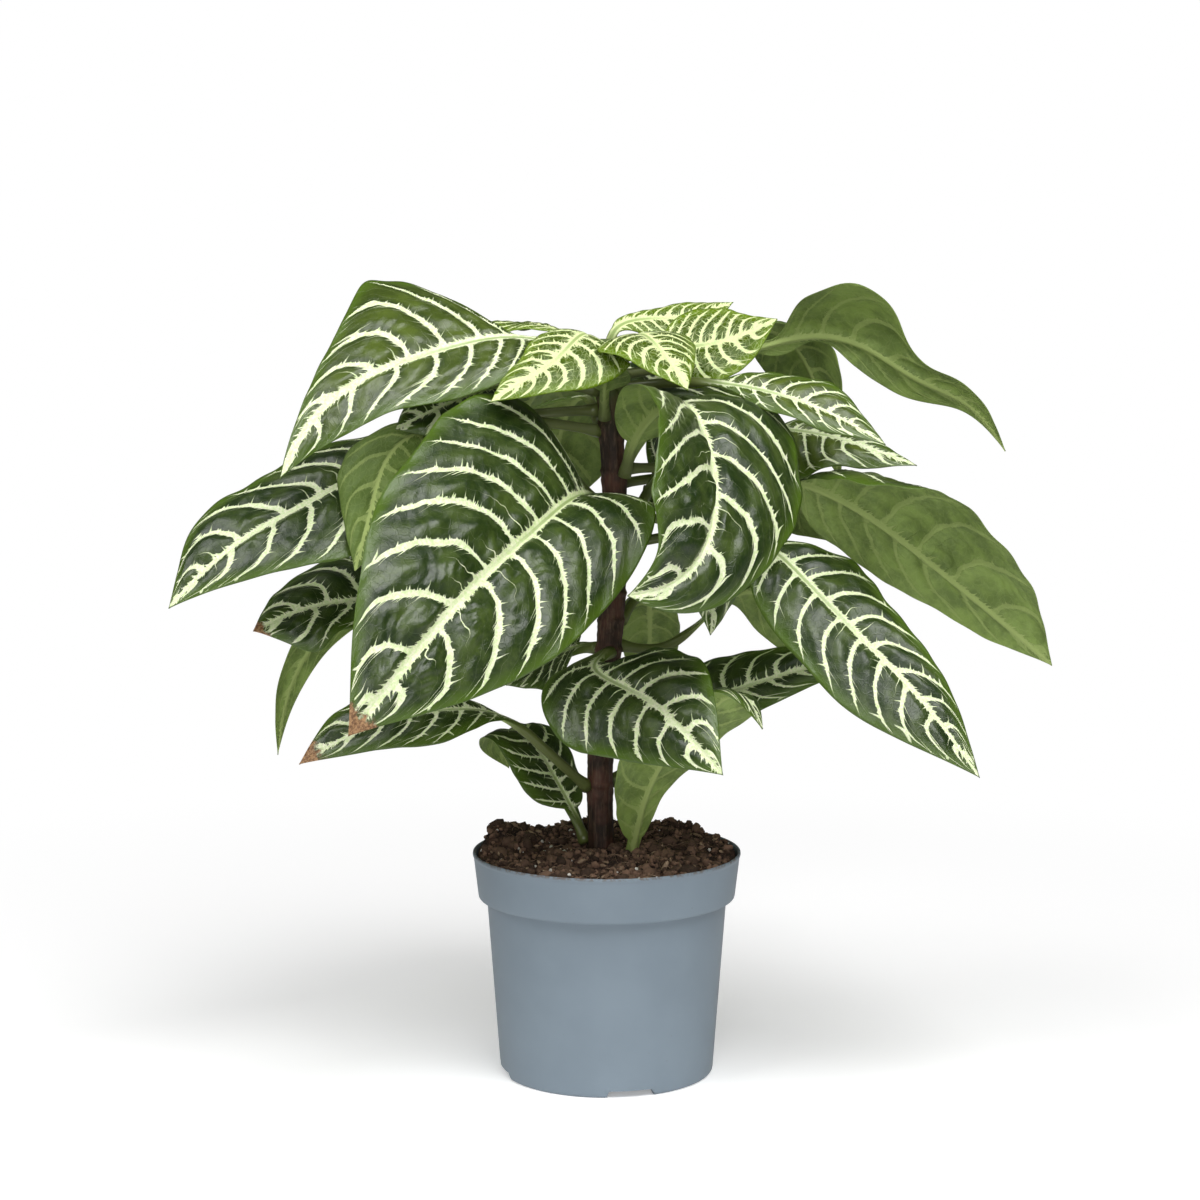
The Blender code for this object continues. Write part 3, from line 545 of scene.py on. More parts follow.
def loose_bits(name, low, high, roughness):
    """A material for loose bits, whose colour runs from low to high with each bit's tone."""
    material, tree, shader = new_material(name)
    place = object_place(tree)
    tone = tree.nodes.new("ShaderNodeAttribute")
    tone.attribute_name = "tone"
    grain = noise(tree, place, 1.8, 4.0, 0.65)
    shade = Flow(tree, tone.outputs["Fac"]) * 0.8 + grain * 0.5 - 0.15
    feed(tree, shader.inputs["Base Color"], blended(tree, shade, low, high))
    feed(tree, shader.inputs["Normal"], bumped(tree, grain, 0.7, 0.4 * MM))
    shader.inputs["Roughness"].default_value = roughness
    shader.inputs["Specular IOR Level"].default_value = 0.3
    return material


ball_points = root_ball()
add_piece("root_ball", make_mesh("root_ball", ball_points, grid_faces(*ball_points.shape[:2])),
          peat(), "soil", "soil")
crumb_finish = loose_bits("peat_crumb", (0.013, 0.007, 0.004), (0.220, 0.132, 0.088), 0.9)
bark_finish = loose_bits("bark_chip", (0.090, 0.052, 0.032), (0.420, 0.300, 0.200), 0.8)
fibre_finish = loose_bits("root_fibre", (0.070, 0.040, 0.024), (0.330, 0.230, 0.150), 0.8)
perlite_finish = loose_bits("perlite_grain", (0.480, 0.455, 0.410), (0.790, 0.770, 0.720), 0.7)
LOOSE_LUMPS = {          # finish, count, seed, and ranges of size, squash, sink and tone
    "peat_crumbs": (crumb_finish, 1300, 11, (0.8, 2.4), (0.55, 0.95), (-0.1, 0.5), (0.0, 1.0)),
    "peat_clods": (crumb_finish, 110, 15, (3.0, 5.6), (0.5, 0.9), (-0.25, 0.15), (0.0, 0.8)),
    "bark_chips": (bark_finish, 130, 12, (1.4, 4.0), (0.16, 0.42), (0.05, 0.35), (0.0, 1.0)),
    "perlite_grains": (perlite_finish, 70, 13, (0.5, 1.3), (0.7, 1.0), (0.3, 0.7), (0.2, 1.0)),
}
for name, (finish, *facts) in LOOSE_LUMPS.items():
    add_piece(name, lumps(name, *facts), finish, "soil", "soil")
add_piece("root_fibres", fibres("root_fibres", 240, 14), fibre_finish, "soil", "soil")

# ---------------------------------------------------------------------------------------------
# Stem. One upright woody shoot, dark purple-brown with fine ribs along it and a raised ring at
# each node, that draws in a little towards its green tip. It grows out of the root ball.
# ---------------------------------------------------------------------------------------------

STEM_PATH = [(-2, 0, 92), (-3, 0, 130), (-1, 0, 170), (2, 0, 205), (3, 0, 270), (1, 0, 300),
             (0, 0, 328)]
STEM_RADIUS = 5.8
STEM_NODES = (130, 148, 168, 191, 204, 216, 228, 240, 252, 270, 290, 308)
NODE_SWELL = 0.60
STEM_TAPER = 0.10        # share of its radius that the stem loses from foot to tip
STEM_RINGS = 300
STEM_STEPS = 72
BUD_LENGTH = 20.0        # over this height the shoot draws in to its tip
BUD_BLUNT = 9.0          # as if to a point this far above where it ends
BARK_DARK = (0.020, 0.011, 0.006)
BARK_PURPLE = (0.080, 0.032, 0.020)
BARK_GREY = (0.115, 0.075, 0.045)
BARK_GREEN = (0.115, 0.165, 0.045)


def smooth_path(points, count):
    """A natural cubic curve through the points, read off at even steps of its length.

    Also gives where along the length, from 0 to 1, each of the points lies. The second
    derivatives s solve h s- + 2(h + h+) s + h+ s+ = 6 (slope+ - slope), and are 0 at the ends.
    """
    knots = np.asarray(points, float)
    at = np.concatenate([[0], np.cumsum(np.linalg.norm(np.diff(knots, axis=0), axis=1))])
    step = np.diff(at)
    slope = np.diff(knots, axis=0) / step[:, None]
    system = np.eye(len(at))
    bend = np.zeros((len(at), 3))
    inner = np.arange(1, len(at) - 1)
    system[inner, inner - 1] = step[:-1]
    system[inner, inner] = 2 * (step[:-1] + step[1:])
    system[inner, inner + 1] = step[1:]
    bend[inner] = 6 * np.diff(slope, axis=0)
    second = np.linalg.solve(system, bend)
    t = np.linspace(0, at[-1], 1200)
    i = np.clip(np.searchsorted(at, t, side="right") - 1, 0, len(at) - 2)
    before, after, h = (at[i + 1] - t)[:, None], (t - at[i])[:, None], step[i][:, None]
    curve = ((second[i] * before**3 + second[i + 1] * after**3) / (6 * h)
             + (knots[i] / h - second[i] * h / 6) * before
             + (knots[i + 1] / h - second[i + 1] * h / 6) * after)
    length = np.concatenate([[0], np.cumsum(np.linalg.norm(np.diff(curve, axis=0), axis=1))])
    even = np.linspace(0, length[-1], count)
    points_even = np.stack([np.interp(even, length, curve[:, k]) for k in range(3)], axis=1)
    return points_even, np.interp(at, t, length) / length[-1]


def stem_points():
    """The stem as a tube: rings about the path, whose radius carries ribs, nodes and the tip.

    radius = R (1 + ribs + bark) + node rings, where a rib is sin(11 a) and sin(7 a) drifting
    up the stem and a node is a bell curve in height, with a wider one below it. In the bud,
    with v from 1 at its foot towards 0, the radius is multiplied by sqrt(1 - (1 - v)^2).
    """
    path = smooth_path(STEM_PATH, STEM_RINGS)[0]
    height = path[:, 2:]
    angle = np.linspace(0, 2 * np.pi, STEM_STEPS, endpoint=False)
    drift = height / 37
    ribs = 0.020 * np.sin(11 * angle + 2 * np.sin(drift)) + 0.014 * np.sin(7 * angle - drift)
    bark = 0.012 * np.sin(height * 1.9 + 3 * np.sin(3 * angle)) * np.sin(height / 2.7)
    node = sum(np.exp(-((height - level) / 1.1) ** 2)
               + 0.6 * np.exp(-((height - level + 4) / 3.4) ** 2) for level in STEM_NODES)
    foot, tip = STEM_PATH[0][2], STEM_PATH[-1][2]
    thick = STEM_RADIUS * (1 - STEM_TAPER * (height - foot) / (tip - foot))
    swell = NODE_SWELL * node * (1 + 0.35 * np.sin(2 * angle + height))
    radius = thick * (1 + ribs + bark) + swell
    left = np.clip((tip + BUD_BLUNT - height) / BUD_LENGTH, 0, 1)
    radius = radius * np.sqrt(1 - (1 - left) ** 2)
    points = np.zeros((*radius.shape, 3))
    points[..., 0] = path[:, :1] + radius * np.cos(angle)
    points[..., 1] = path[:, 1:2] + radius * np.sin(angle)
    points[..., 2] = height
    return points


def vector(tree, x, y, z):
    """A vector of three numbers, each a Flow or a plain value."""
    node = tree.nodes.new("ShaderNodeCombineXYZ")
    for socket, value in zip(node.inputs, (x, y, z)):
        feed(tree, socket, value)
    return node.outputs[0]


def stem_bark():
    """Purple-brown young bark: cloudy, with a pale grey lengthwise grain, and green near the top.
    """
    material, tree, shader = new_material("stem_bark")
    place = object_place(tree)
    x, y, z = split(tree, place)
    streak = noise(tree, vector(tree, x * 1.1, y * 1.1, z * 0.10), 1.0, 4.0, 0.6)
    cloud = noise(tree, place, 0.12, 3.0)
    purple = blended(tree, cloud.rise(0.35, 0.7), BARK_DARK, BARK_PURPLE)
    barked = blended(tree, streak.rise(0.45, 0.8), purple, BARK_GREY)
    topped = blended(tree, z.rise(285, 322), barked, BARK_GREEN)
    feed(tree, shader.inputs["Base Color"], topped)
    feed(tree, shader.inputs["Normal"], bumped(tree, streak, 0.6, 0.5 * MM))
    shader.inputs["Roughness"].default_value = 0.6
    shader.inputs["Specular IOR Level"].default_value = 0.3
    return material


stem = stem_points()
add_piece("stem_shoot", make_mesh("stem_shoot", stem, grid_faces(*stem.shape[:2])),
          stem_bark(), "stem", "stem")

# ---------------------------------------------------------------------------------------------
# Leaves. Thirty-seven leathery leaves, each grown in one piece with its stalk: dark glossy green,
# puffed up between cream veins with toothed edges, dull green below with a raised midrib. The
# youngest ones, at the top, are lime green with a close cream net.
# ---------------------------------------------------------------------------------------------

STALK_RADIUS = 2.2
STALK_TAPER = 0.6        # power by which the midrib thins towards the tip
STALK_FLARE = 0.9        # the stalk widens by this much where it leaves the stem
STALK_SUNK = 1.6         # and starts this far inside the bark
BLADE_JOIN = (-16, 5)    # it flattens between these distances from the blade's base
SHEET = 0.45             # thickness of the blade beside the midrib
GROOVE = 0.45            # depth of the groove over the midrib
PUFF = 0.120             # rise of the blade between side veins, as a share of their spacing
RIPPLE = 0.007           # the same for lines across the puffs,
CREASE = 0.030           # for fine creases
MARGIN_WAVE = 0.055      # and for the scallops along the margin
SLOW_WAVE = 0.02         # long waves, as a share of the half-width
WIDTH_CROWDING = 0.7     # the widths crowd towards the base by this power of the distance
HALF_WAVE_SHIFT = 0.35   # the waves of the right margin run ahead by this share of a wave
CELL = 1.36              # spacing of the points on a blade
STALK_CELL = 2.2         # spacing of the rings along a stalk
FRAME_STEPS = 241


def leaf(path, left, right=None, blade_from=1, roll=(0,), fold=(8, 8), curl=(30, 30), wave=(2, 2),
         young=False, fresh=0, scorched=0, turned=False):
    """One leaf as a set of values, with lengths in millimetres and angles in degrees.

    path: points (right, back, up) along the stalk and midrib, from the stem to the tip
    blade_from: the path point where the stalk becomes the blade
    left: half-widths on the left of the midrib, spread from the blade's base to its tip
    right: the same on its right, or the same as on its left where none are given
    roll: turn of the blade about its midrib, where more lifts the right half
    fold: how far each half rises out of flat beside the midrib
    curl: how far each half bends down again towards its margin
    wave: height and number of the waves along the margin
    young: whether it still has its net of cream veins
    fresh: its green, from 0, deep, to 1, lime
    scorched: how far the brown at its tip reaches, where 1 is some 5 % of the blade
    turned: whether the leaf is twisted over, with its underside on the upper side
    """
    return dict(path=path, left=left, right=right or left, blade_from=blade_from, roll=roll,
                fold=fold, curl=curl, wave=wave, young=young, fresh=max(fresh, young),
                scorched=scorched, turned=turned)


# From the lowest point of attachment to the highest
LEAVES = {
    "leaf_01": leaf(
        [(-10, 7, 103), (-16, 16, 116), (-23, 26, 127), (-31, 34, 139), (-41, 43, 147),
         (-49, 56, 142), (-46, 66, 125)],
        left=(4, 16, 19, 18, 16, 12, 0), right=(4, 10, 15, 17, 15, 12, 0),
        curl=(25, 25), wave=(1, 2)),
    "leaf_02": leaf(
        [(11, -10, 102.2), (12.3, -12, 108), (15, -16, 121), (22, -25, 141), (42, -40, 168),
         (57, -50, 178), (66, -60, 165)],
        left=(4, 7, 10, 16, 20, 21, 0), right=(4, 11, 18, 26, 28, 21, 0),
        wave=(1, 2)),
    "leaf_03": leaf(
        [(-9.5, -3, 130), (-28, -20, 150), (-46, -32, 166), (-68, -46, 171), (-83, -52, 170),
         (-100, -58, 166), (-130, -66, 151)],
        left=(4, 8, 14, 18, 16, 9, 0), right=(4, 16, 22, 24, 22, 16, 0),
        blade_from=2, roll=(20, 40, 50), curl=(35, 35), wave=(1, 2), scorched=1.8),
    "leaf_04": leaf(
        [(3, 3.5, 131), (30, 14, 151), (50, 22, 165), (74, 30, 173), (100, 34, 178),
         (124, 34, 172)],
        left=(4, 20, 26, 24, 18, 11, 0), right=(4, 10, 14, 15, 12, 7, 0),
        roll=(-30, -40, -40), curl=(35, 35), wave=(1, 2)),
    "leaf_05": leaf(
        [(1, -6.9, 190), (-5, -16, 187), (13, -46, 178), (31, -72, 167), (48, -86, 150)],
        left=(4, 18, 28, 30, 27, 16, 0), right=(16, 27, 35, 35, 28, 17, 0),
        roll=(0, -25, -35)),
    "leaf_06": leaf(
        [(-4.5, 3, 191), (-14, 12, 190), (-28, 22, 182), (-46, 30, 170)],
        left=(6, 22, 24, 20, 14, 8, 0), right=(4, 12, 14, 13, 11, 7, 0),
        roll=(40, 50, 50), wave=(1, 2)),
    "leaf_07": leaf(
        [(6, 4, 192), (27, 16, 190), (43, 26, 201), (64, 40, 212), (91, 50, 198), (113, 55, 174),
         (130, 54, 147)],
        left=(2, 5, 12, 20, 20, 12, 0), right=(4, 10, 18, 22, 20, 12, 0),
        blade_from=2, roll=(20, 40, 40), curl=(35, 35), wave=(1, 2)),
    "leaf_08": leaf(
        [(6.9, 5.3, 204), (18, 30, 214), (20, 48, 200), (20, 60, 176), (18, 66, 150)],
        left=(1, 6, 12, 14, 13, 8, 0)),
    "leaf_09": leaf(
        [(-1.5, 5.5, 215), (-12, 44, 222), (-28, 80, 202), (-42, 104, 166)],
        left=(3, 13, 24, 30, 28, 17, 0)),
    "leaf_10": leaf(
        [(7.9, 5.9, 226), (21, 27, 252), (54, 66, 243), (84, 100, 196)],
        left=(3, 13, 25, 31, 29, 17, 0),
        roll=(-10,)),
    "leaf_11": leaf(
        [(-2.5, 2, 231), (-70, 14, 216), (-110, 10, 212), (-132, 4, 209), (-156, -8, 200)],
        left=(4, 14, 20, 14, 16, 22, 0), right=(4, 16, 24, 28, 30, 18, 0),
        roll=(40, 45, 50), curl=(35, 35), scorched=1.0),
    "leaf_12": leaf(
        [(9.5, -3, 238), (68, -25, 240), (84, -36, 227), (107, -52, 204), (130, -64, 181),
         (156, -76, 147)],
        left=(4, 18, 29, 26, 20, 13, 0), right=(6, 20, 26, 28, 28, 18, 0),
        roll=(-30, -40, -45), curl=(35, 35), wave=(1.5, 2)),
    "leaf_13": leaf(
        [(0.5, 5.5, 240), (-40, 52, 244), (-74, 86, 218), (-96, 108, 180)],
        left=(3, 13, 26, 32, 29, 18, 0),
        roll=(10,)),
    "leaf_14": leaf(
        [(-2, 3, 246), (-80, 45, 226), (-116, 54, 207), (-136, 50, 186), (-147.5, 42, 162),
         (-151, 34, 137)],
        left=(6, 22, 26, 18, 11, 7, 0), right=(4, 8, 11, 12, 8, 5, 0),
        roll=(-30, -50, -50), curl=(35, 35), wave=(1, 2)),
    "leaf_15": leaf(
        [(11, 2, 247), (22, 8, 267), (35, 15, 278), (52, 22, 268), (62, 24, 246)],
        left=(2, 9, 18, 22, 20, 12, 0), right=(6, 20, 28, 28, 22, 12, 0),
        roll=(-40, -50, -50)),
    "leaf_16": leaf(
        [(8, -4.5, 250), (30, -26, 248), (44, -42, 228), (44, -52, 204)],
        left=(2, 7, 14, 17, 16, 10, 0),
        curl=(35, 35), wave=(3, 2)),
    "leaf_17": leaf(
        [(-1.5, -4.5, 256), (-9, -22, 261), (-28, -60, 252), (-45, -88, 239), (-64, -115, 221),
         (-83, -132, 199), (-102, -142, 176)],
        left=(14, 38, 45, 46, 43, 28, 0), right=(12, 52, 62, 58, 51, 31, 0),
        roll=(35, 52, 55), fold=((50, 24, 12, 12), (40, 15, 10, 10)), curl=(25, 25), wave=(3, 2.5),
        scorched=0.95),
    "leaf_18": leaf(
        [(5.5, 6, 264), (52, 44, 264), (85, 60, 252), (106, 66, 232)],
        left=(2, 10, 20, 25, 23, 14, 0),
        roll=(30,), curl=(35, 35), wave=(3, 2)),
    "leaf_19": leaf(
        [(8, -6, 270), (12, -14, 284), (33, -44, 301), (41, -62, 287), (44, -84, 264),
         (38, -98, 243), (26, -106, 232), (8, -113, 228)],
        left=(8, 34, 47, 51, 44, 25, 0), right=(4, 16, 26, 31, 37, 33, 0),
        fold=((28, 16, 8, 8), (10, 25, 30, 30)), curl=(30, 20)),
    "leaf_20": leaf(
        [(8.5, 2, 271), (86, 6.5, 264.4), (108, 2, 254.6), (146, -10, 227), (172, -18, 206),
         (194, -24, 187)],
        left=(4, 22, 26, 24, 21, 14, 0), right=(5, 32, 53, 61, 52, 35, 0),
        roll=(50,), curl=(25, (95, 80, 45, 32, 30)), fresh=0.3),
    "leaf_21": leaf(
        [(4.4, 6.9, 281), (12, 22, 299), (34, 60, 311), (56, 96, 300), (74, 124, 258)],
        left=(4, 15, 29, 36, 33, 20, 0),
        roll=(-10,)),
    "leaf_22": leaf(
        [(7.5, 2, 287), (77, 14, 288), (103, 6, 284), (116, 0, 280), (136, -6, 273)],
        left=(2, 7, 9, 8, 7, 5, 0), right=(4, 18, 24, 23, 14, 8, 0),
        roll=(-40,), curl=(35, 35), wave=(3, 2), fresh=0.9),
    "leaf_23": leaf(
        [(-4.5, -1, 288), (-66, -18, 292), (-91, -28, 281), (-100, -40, 258), (-107, -48, 231)],
        left=(2, 10, 20, 25, 23, 14, 0),
        roll=(30,), curl=(35, 35), turned=True),
    "leaf_24": leaf(
        [(-3.5, 5.5, 292), (-10, 22, 302), (-18, 38, 294), (-24, 48, 268), (-27, 53, 240)],
        left=(3, 13, 25, 31, 29, 17, 0), fresh=0.4),
    "leaf_25": leaf(
        [(-1, -7.5, 295), (-1, -13, 306), (0, -16, 315), (2, -17, 323)],
        left=(1, 5, 9, 11, 10, 6, 0),
        wave=(1, 2)),
    "leaf_26": leaf(
        [(-5, 0, 297), (-55, 6, 291), (-97, -4, 275), (-133, -20, 256), (-162, -32, 239),
         (-188, -40, 214)],
        left=(4, 18, 34, 40, 35, 20, 0), right=(4, 9, 18, 28, 30, 28, 0),
        roll=(40, 45, 45)),
    "leaf_27": leaf(
        [(-5, -3.5, 306), (-38, -8, 309), (-63, -16, 303), (-91, -28, 290)],
        left=(2, 10, 20, 25, 23, 14, 0),
        roll=(40,), curl=(35, 35)),
    "leaf_28": leaf(
        [(6.5, -2.5, 307), (50, -17, 309.3), (75, -24, 304.6), (96, -29, 297), (119, -36, 284)],
        left=(3, 8, 12, 17, 17, 10, 0), right=(2, 4, 8, 11, 11, 7, 0),
        roll=(-40,), fresh=1.0),
    "leaf_29": leaf(
        [(0, 6.5, 309), (-14, 40, 318), (-34, 80, 300), (-52, 112, 262)],
        left=(4, 15, 28, 35, 32, 20, 0),
        roll=(10,)),
    "leaf_30": leaf(
        [(5.5, 3, 312), (68, 20, 324), (92, 14, 329), (112, 6, 325), (137, -4, 310),
         (158, -12, 299), (173, -18, 280)],
        left=(4, 7, 3, 10, 13, 5, 0), right=(4, 4, 25, 37, 14, 11, 0),
        roll=(60, 65, 60), curl=(35, 30), fresh=0.5),
    "leaf_31": leaf(
        [(-6.5, -2, 317), (-30, -12, 328), (-75, -32, 323), (-102, -46, 313), (-122, -58, 297),
         (-136, -70, 272)],
        left=(8, 22, 27, 25, 21, 15, 0), right=(4, 4, 45, 54, 28, 9, 0),
        roll=(30, 45, 50), fresh=0.6),
    "leaf_32": leaf(
        [(-4, -6.5, 319), (-8, -14, 330), (-22, -34, 320), (-35, -46, 312), (-49, -56, 303)],
        left=(4, 24, 27, 22, 14, 8, 0), right=(4, 12, 16, 16, 12, 8, 0),
        roll=(20, 30, 30), curl=(35, 35), wave=(1, 2), young=True),
    "leaf_33": leaf(
        [(4.5, -6, 318), (12, -15, 330), (23, -35, 324), (29, -46, 316), (34, -53, 308)],
        left=(4, 14, 20, 20, 15, 9, 0), right=(6, 20, 24, 21, 15, 9, 0),
        wave=(1, 2), young=True),
    "leaf_34": leaf(
        [(0, 8, 320), (4, 11, 332), (13, 17, 336), (32, 24, 337.2), (57, 34, 343.7)],
        left=(2, 4, 5, 8, 9, 7, 0), right=(2, 4, 8, 12, 12, 8, 0),
        roll=(-40,), curl=(35, 35), wave=(1, 2), young=True),
    "leaf_35": leaf(
        [(6, 1.5, 320), (24, 5, 323), (40, 2, 325), (54, -3, 328), (64, -6, 332), (74, -9, 337)],
        left=(4, 14, 20, 21, 18, 10, 0), right=(4, 14, 20, 22, 19, 12, 0),
        roll=(-50,), curl=(25, 25), wave=(1, 2), young=True),
    "leaf_36": leaf(
        [(4, 5, 322), (55, 40, 333), (84, 56, 326), (98, 60, 302), (108, 58, 262)],
        left=(2, 9, 18, 22, 20, 12, 0),
        roll=(20,), curl=(35, 35)),
    "leaf_37": leaf(
        [(-4, 5, 323), (-21, 20, 331), (-39, 38, 334), (-60, 56, 333)],
        left=(2, 7, 13, 16, 15, 9, 0),
        curl=(35, 35), young=True),
}


def carried_frame(curve):
    """Directions along the curve, up from it and to its right, with up carried without twist."""
    along = np.gradient(curve, axis=0)
    along /= np.linalg.norm(along, axis=1)[:, None]
    up = np.zeros_like(along)
    carried = np.array([0.0, 0.0, 1.0])
    for i, direction in enumerate(along):
        carried = carried - carried.dot(direction) * direction
        carried /= np.linalg.norm(carried)
        up[i] = carried
    return up, np.cross(along, up)


def ease(x, values):
    """Values spread evenly over 0 to 1 and joined by a Catmull-Rom curve through all of them."""
    values = np.atleast_1d(np.asarray(values, float))
    if len(values) == 1:
        return np.full_like(x, values[0])
    spots = np.linspace(0, 1, len(values))
    i = np.clip(np.searchsorted(spots, x, side="right") - 1, 0, len(values) - 2)
    t = (x - spots[i]) / (spots[i + 1] - spots[i])
    padded = np.concatenate([[2 * values[0] - values[1]], values,
                             [2 * values[-1] - values[-2]]])
    a, b, c, d = padded[i], padded[i + 1], padded[i + 2], padded[i + 3]
    return 0.5 * (2 * b + (c - a) * t + (2 * a - 5 * b + 4 * c - d) * t**2
                  + (3 * b - a - 3 * c + d) * t**3)


def step_up(x, low, high):
    """0 below low, 1 above high, and 3t^2 - 2t^3 between."""
    t = np.clip((x - low) / (high - low), 0, 1)
    return t * t * (3 - 2 * t)


def vein_phase(q, reach, half, count, slender, seed):
    """A number that grows towards the tip and is whole on each side vein.

    It is count q^p (1 - m u^2), where the power p goes from p0 at the midrib to 1 at a reach
    of u = 1, as p0 + (1 - p0) u^2.3. So the veins start close together near the blade's base,
    bow forward, and end evenly spaced along the margin. On a slender blade p0 and m are larger,
    and the veins are straighter. Slow waves set by the seed keep them uneven, and the two
    halves don't start theirs at the same places.
    """
    first_power = 0.56 + 0.12 * (0.37 * seed % 1) + 0.22 * slender
    bow = 0.10 + 0.12 * slender
    power = first_power + (1 - first_power) * reach**2.3
    spread = np.clip(q, 1e-4, 1) ** power
    uneven = (0.14 * np.sin(2 * np.pi * (1.7 * spread + 0.31 * seed + 0.23 * half))
              + 0.09 * np.sin(2 * np.pi * (0.8 * reach + 2.3 * spread + 0.57 * seed)))
    return count * spread * (1 - bow * reach**2) + uneven * spread + 0.42 * half + 0.37 * seed


def side_veins(shape, seed, q, u, width, blade_length, widest):
    """How slender the blade is, the phase of its side veins, and their spacing.

    Slender runs from 0 on a broad blade to 1 on a narrow one, and is more on a young one. The
    spacing is 1 / hypot(phase step along the blade, phase step across it), in millimetres.
    """
    reach, half = np.abs(u), (u > 0).astype(int)
    slender = np.clip((blade_length / widest - 2.9) / 1.9 + 0.45 * shape["young"], 0, 1)
    veins = 5.0 + blade_length / 38 + 1.5 * slender + 2.5 * shape["young"]
    phase = vein_phase(q[:, None], reach, half, veins, slender, seed)
    along_step = np.gradient(phase, axis=0) / np.gradient(q + 1e-6 * np.arange(len(q)))[:, None]
    nearby = vein_phase(q[:, None], np.minimum(reach + 0.01, 1.01), half, veins, slender, seed)
    across_step = (nearby - phase) / 0.01
    pitch = 1 / np.hypot(along_step / blade_length, across_step / np.maximum(width, 6))
    return slender, phase, np.clip(pitch, 2, 30)


def leaf_relief(seed, q, distance, u, width, phase, pitch):
    """How far the blade is pushed along its normal.

    With v the distance from a side vein to the next, from 0 to 1, a puff is
    PUFF * pitch * (1 - |2 v - 1|^1.7), uneven from puff to puff and flatter at both ends of the
    vein. On it lie ripples across the veins and fine creases, all of them sine waves bent by
    slower ones. The margin is scalloped by cos(2 pi phase) at a reach near 1.
    """
    reach, half = np.abs(u), (u > 0).astype(int)
    across = reach * width
    between = 1 - np.abs(2 * (phase % 1) - 1) ** 1.7
    inner = step_up(across, 1.0, 5.0) * step_up(distance, 2, 14)
    inner = inner * (1 - step_up(q, 0.9, 1.0))
    ends = (1 - 0.85 * step_up(reach, 0.55, 1.0))
    patchy = 1 + 0.5 * np.sin(across / 3.1 + 1.9 * np.floor(phase) + seed) * np.sin(across / 7.3)
    puff = PUFF * pitch * between * patchy * inner * ends
    warp = np.sin(across / 5.3 + 1.7 * seed) + np.sin(distance / 6.1 + across / 9.7)
    lines = np.sin(2 * np.pi * (across / 4.7 + 0.30 * warp + 0.37 * np.floor(phase)))
    crumple = (np.sin(across / 1.7 + 1.9 * warp + seed)
               * np.sin(distance / 2.1 + 1.3 * warp + 2.3 * half))
    puff = puff + ((RIPPLE * lines + CREASE * crumple) * pitch * between * inner
                   * (1 - step_up(reach, 0.8, 1.0)))
    margin = MARGIN_WAVE * pitch * reach**6 * np.cos(2 * np.pi * phase) * inner
    slow = SLOW_WAVE * width * np.sin(0.045 * distance * (1 + 0.2 * half)
                                      + 2.1 * seed + 2.5 * u) * reach
    return puff + margin + slow


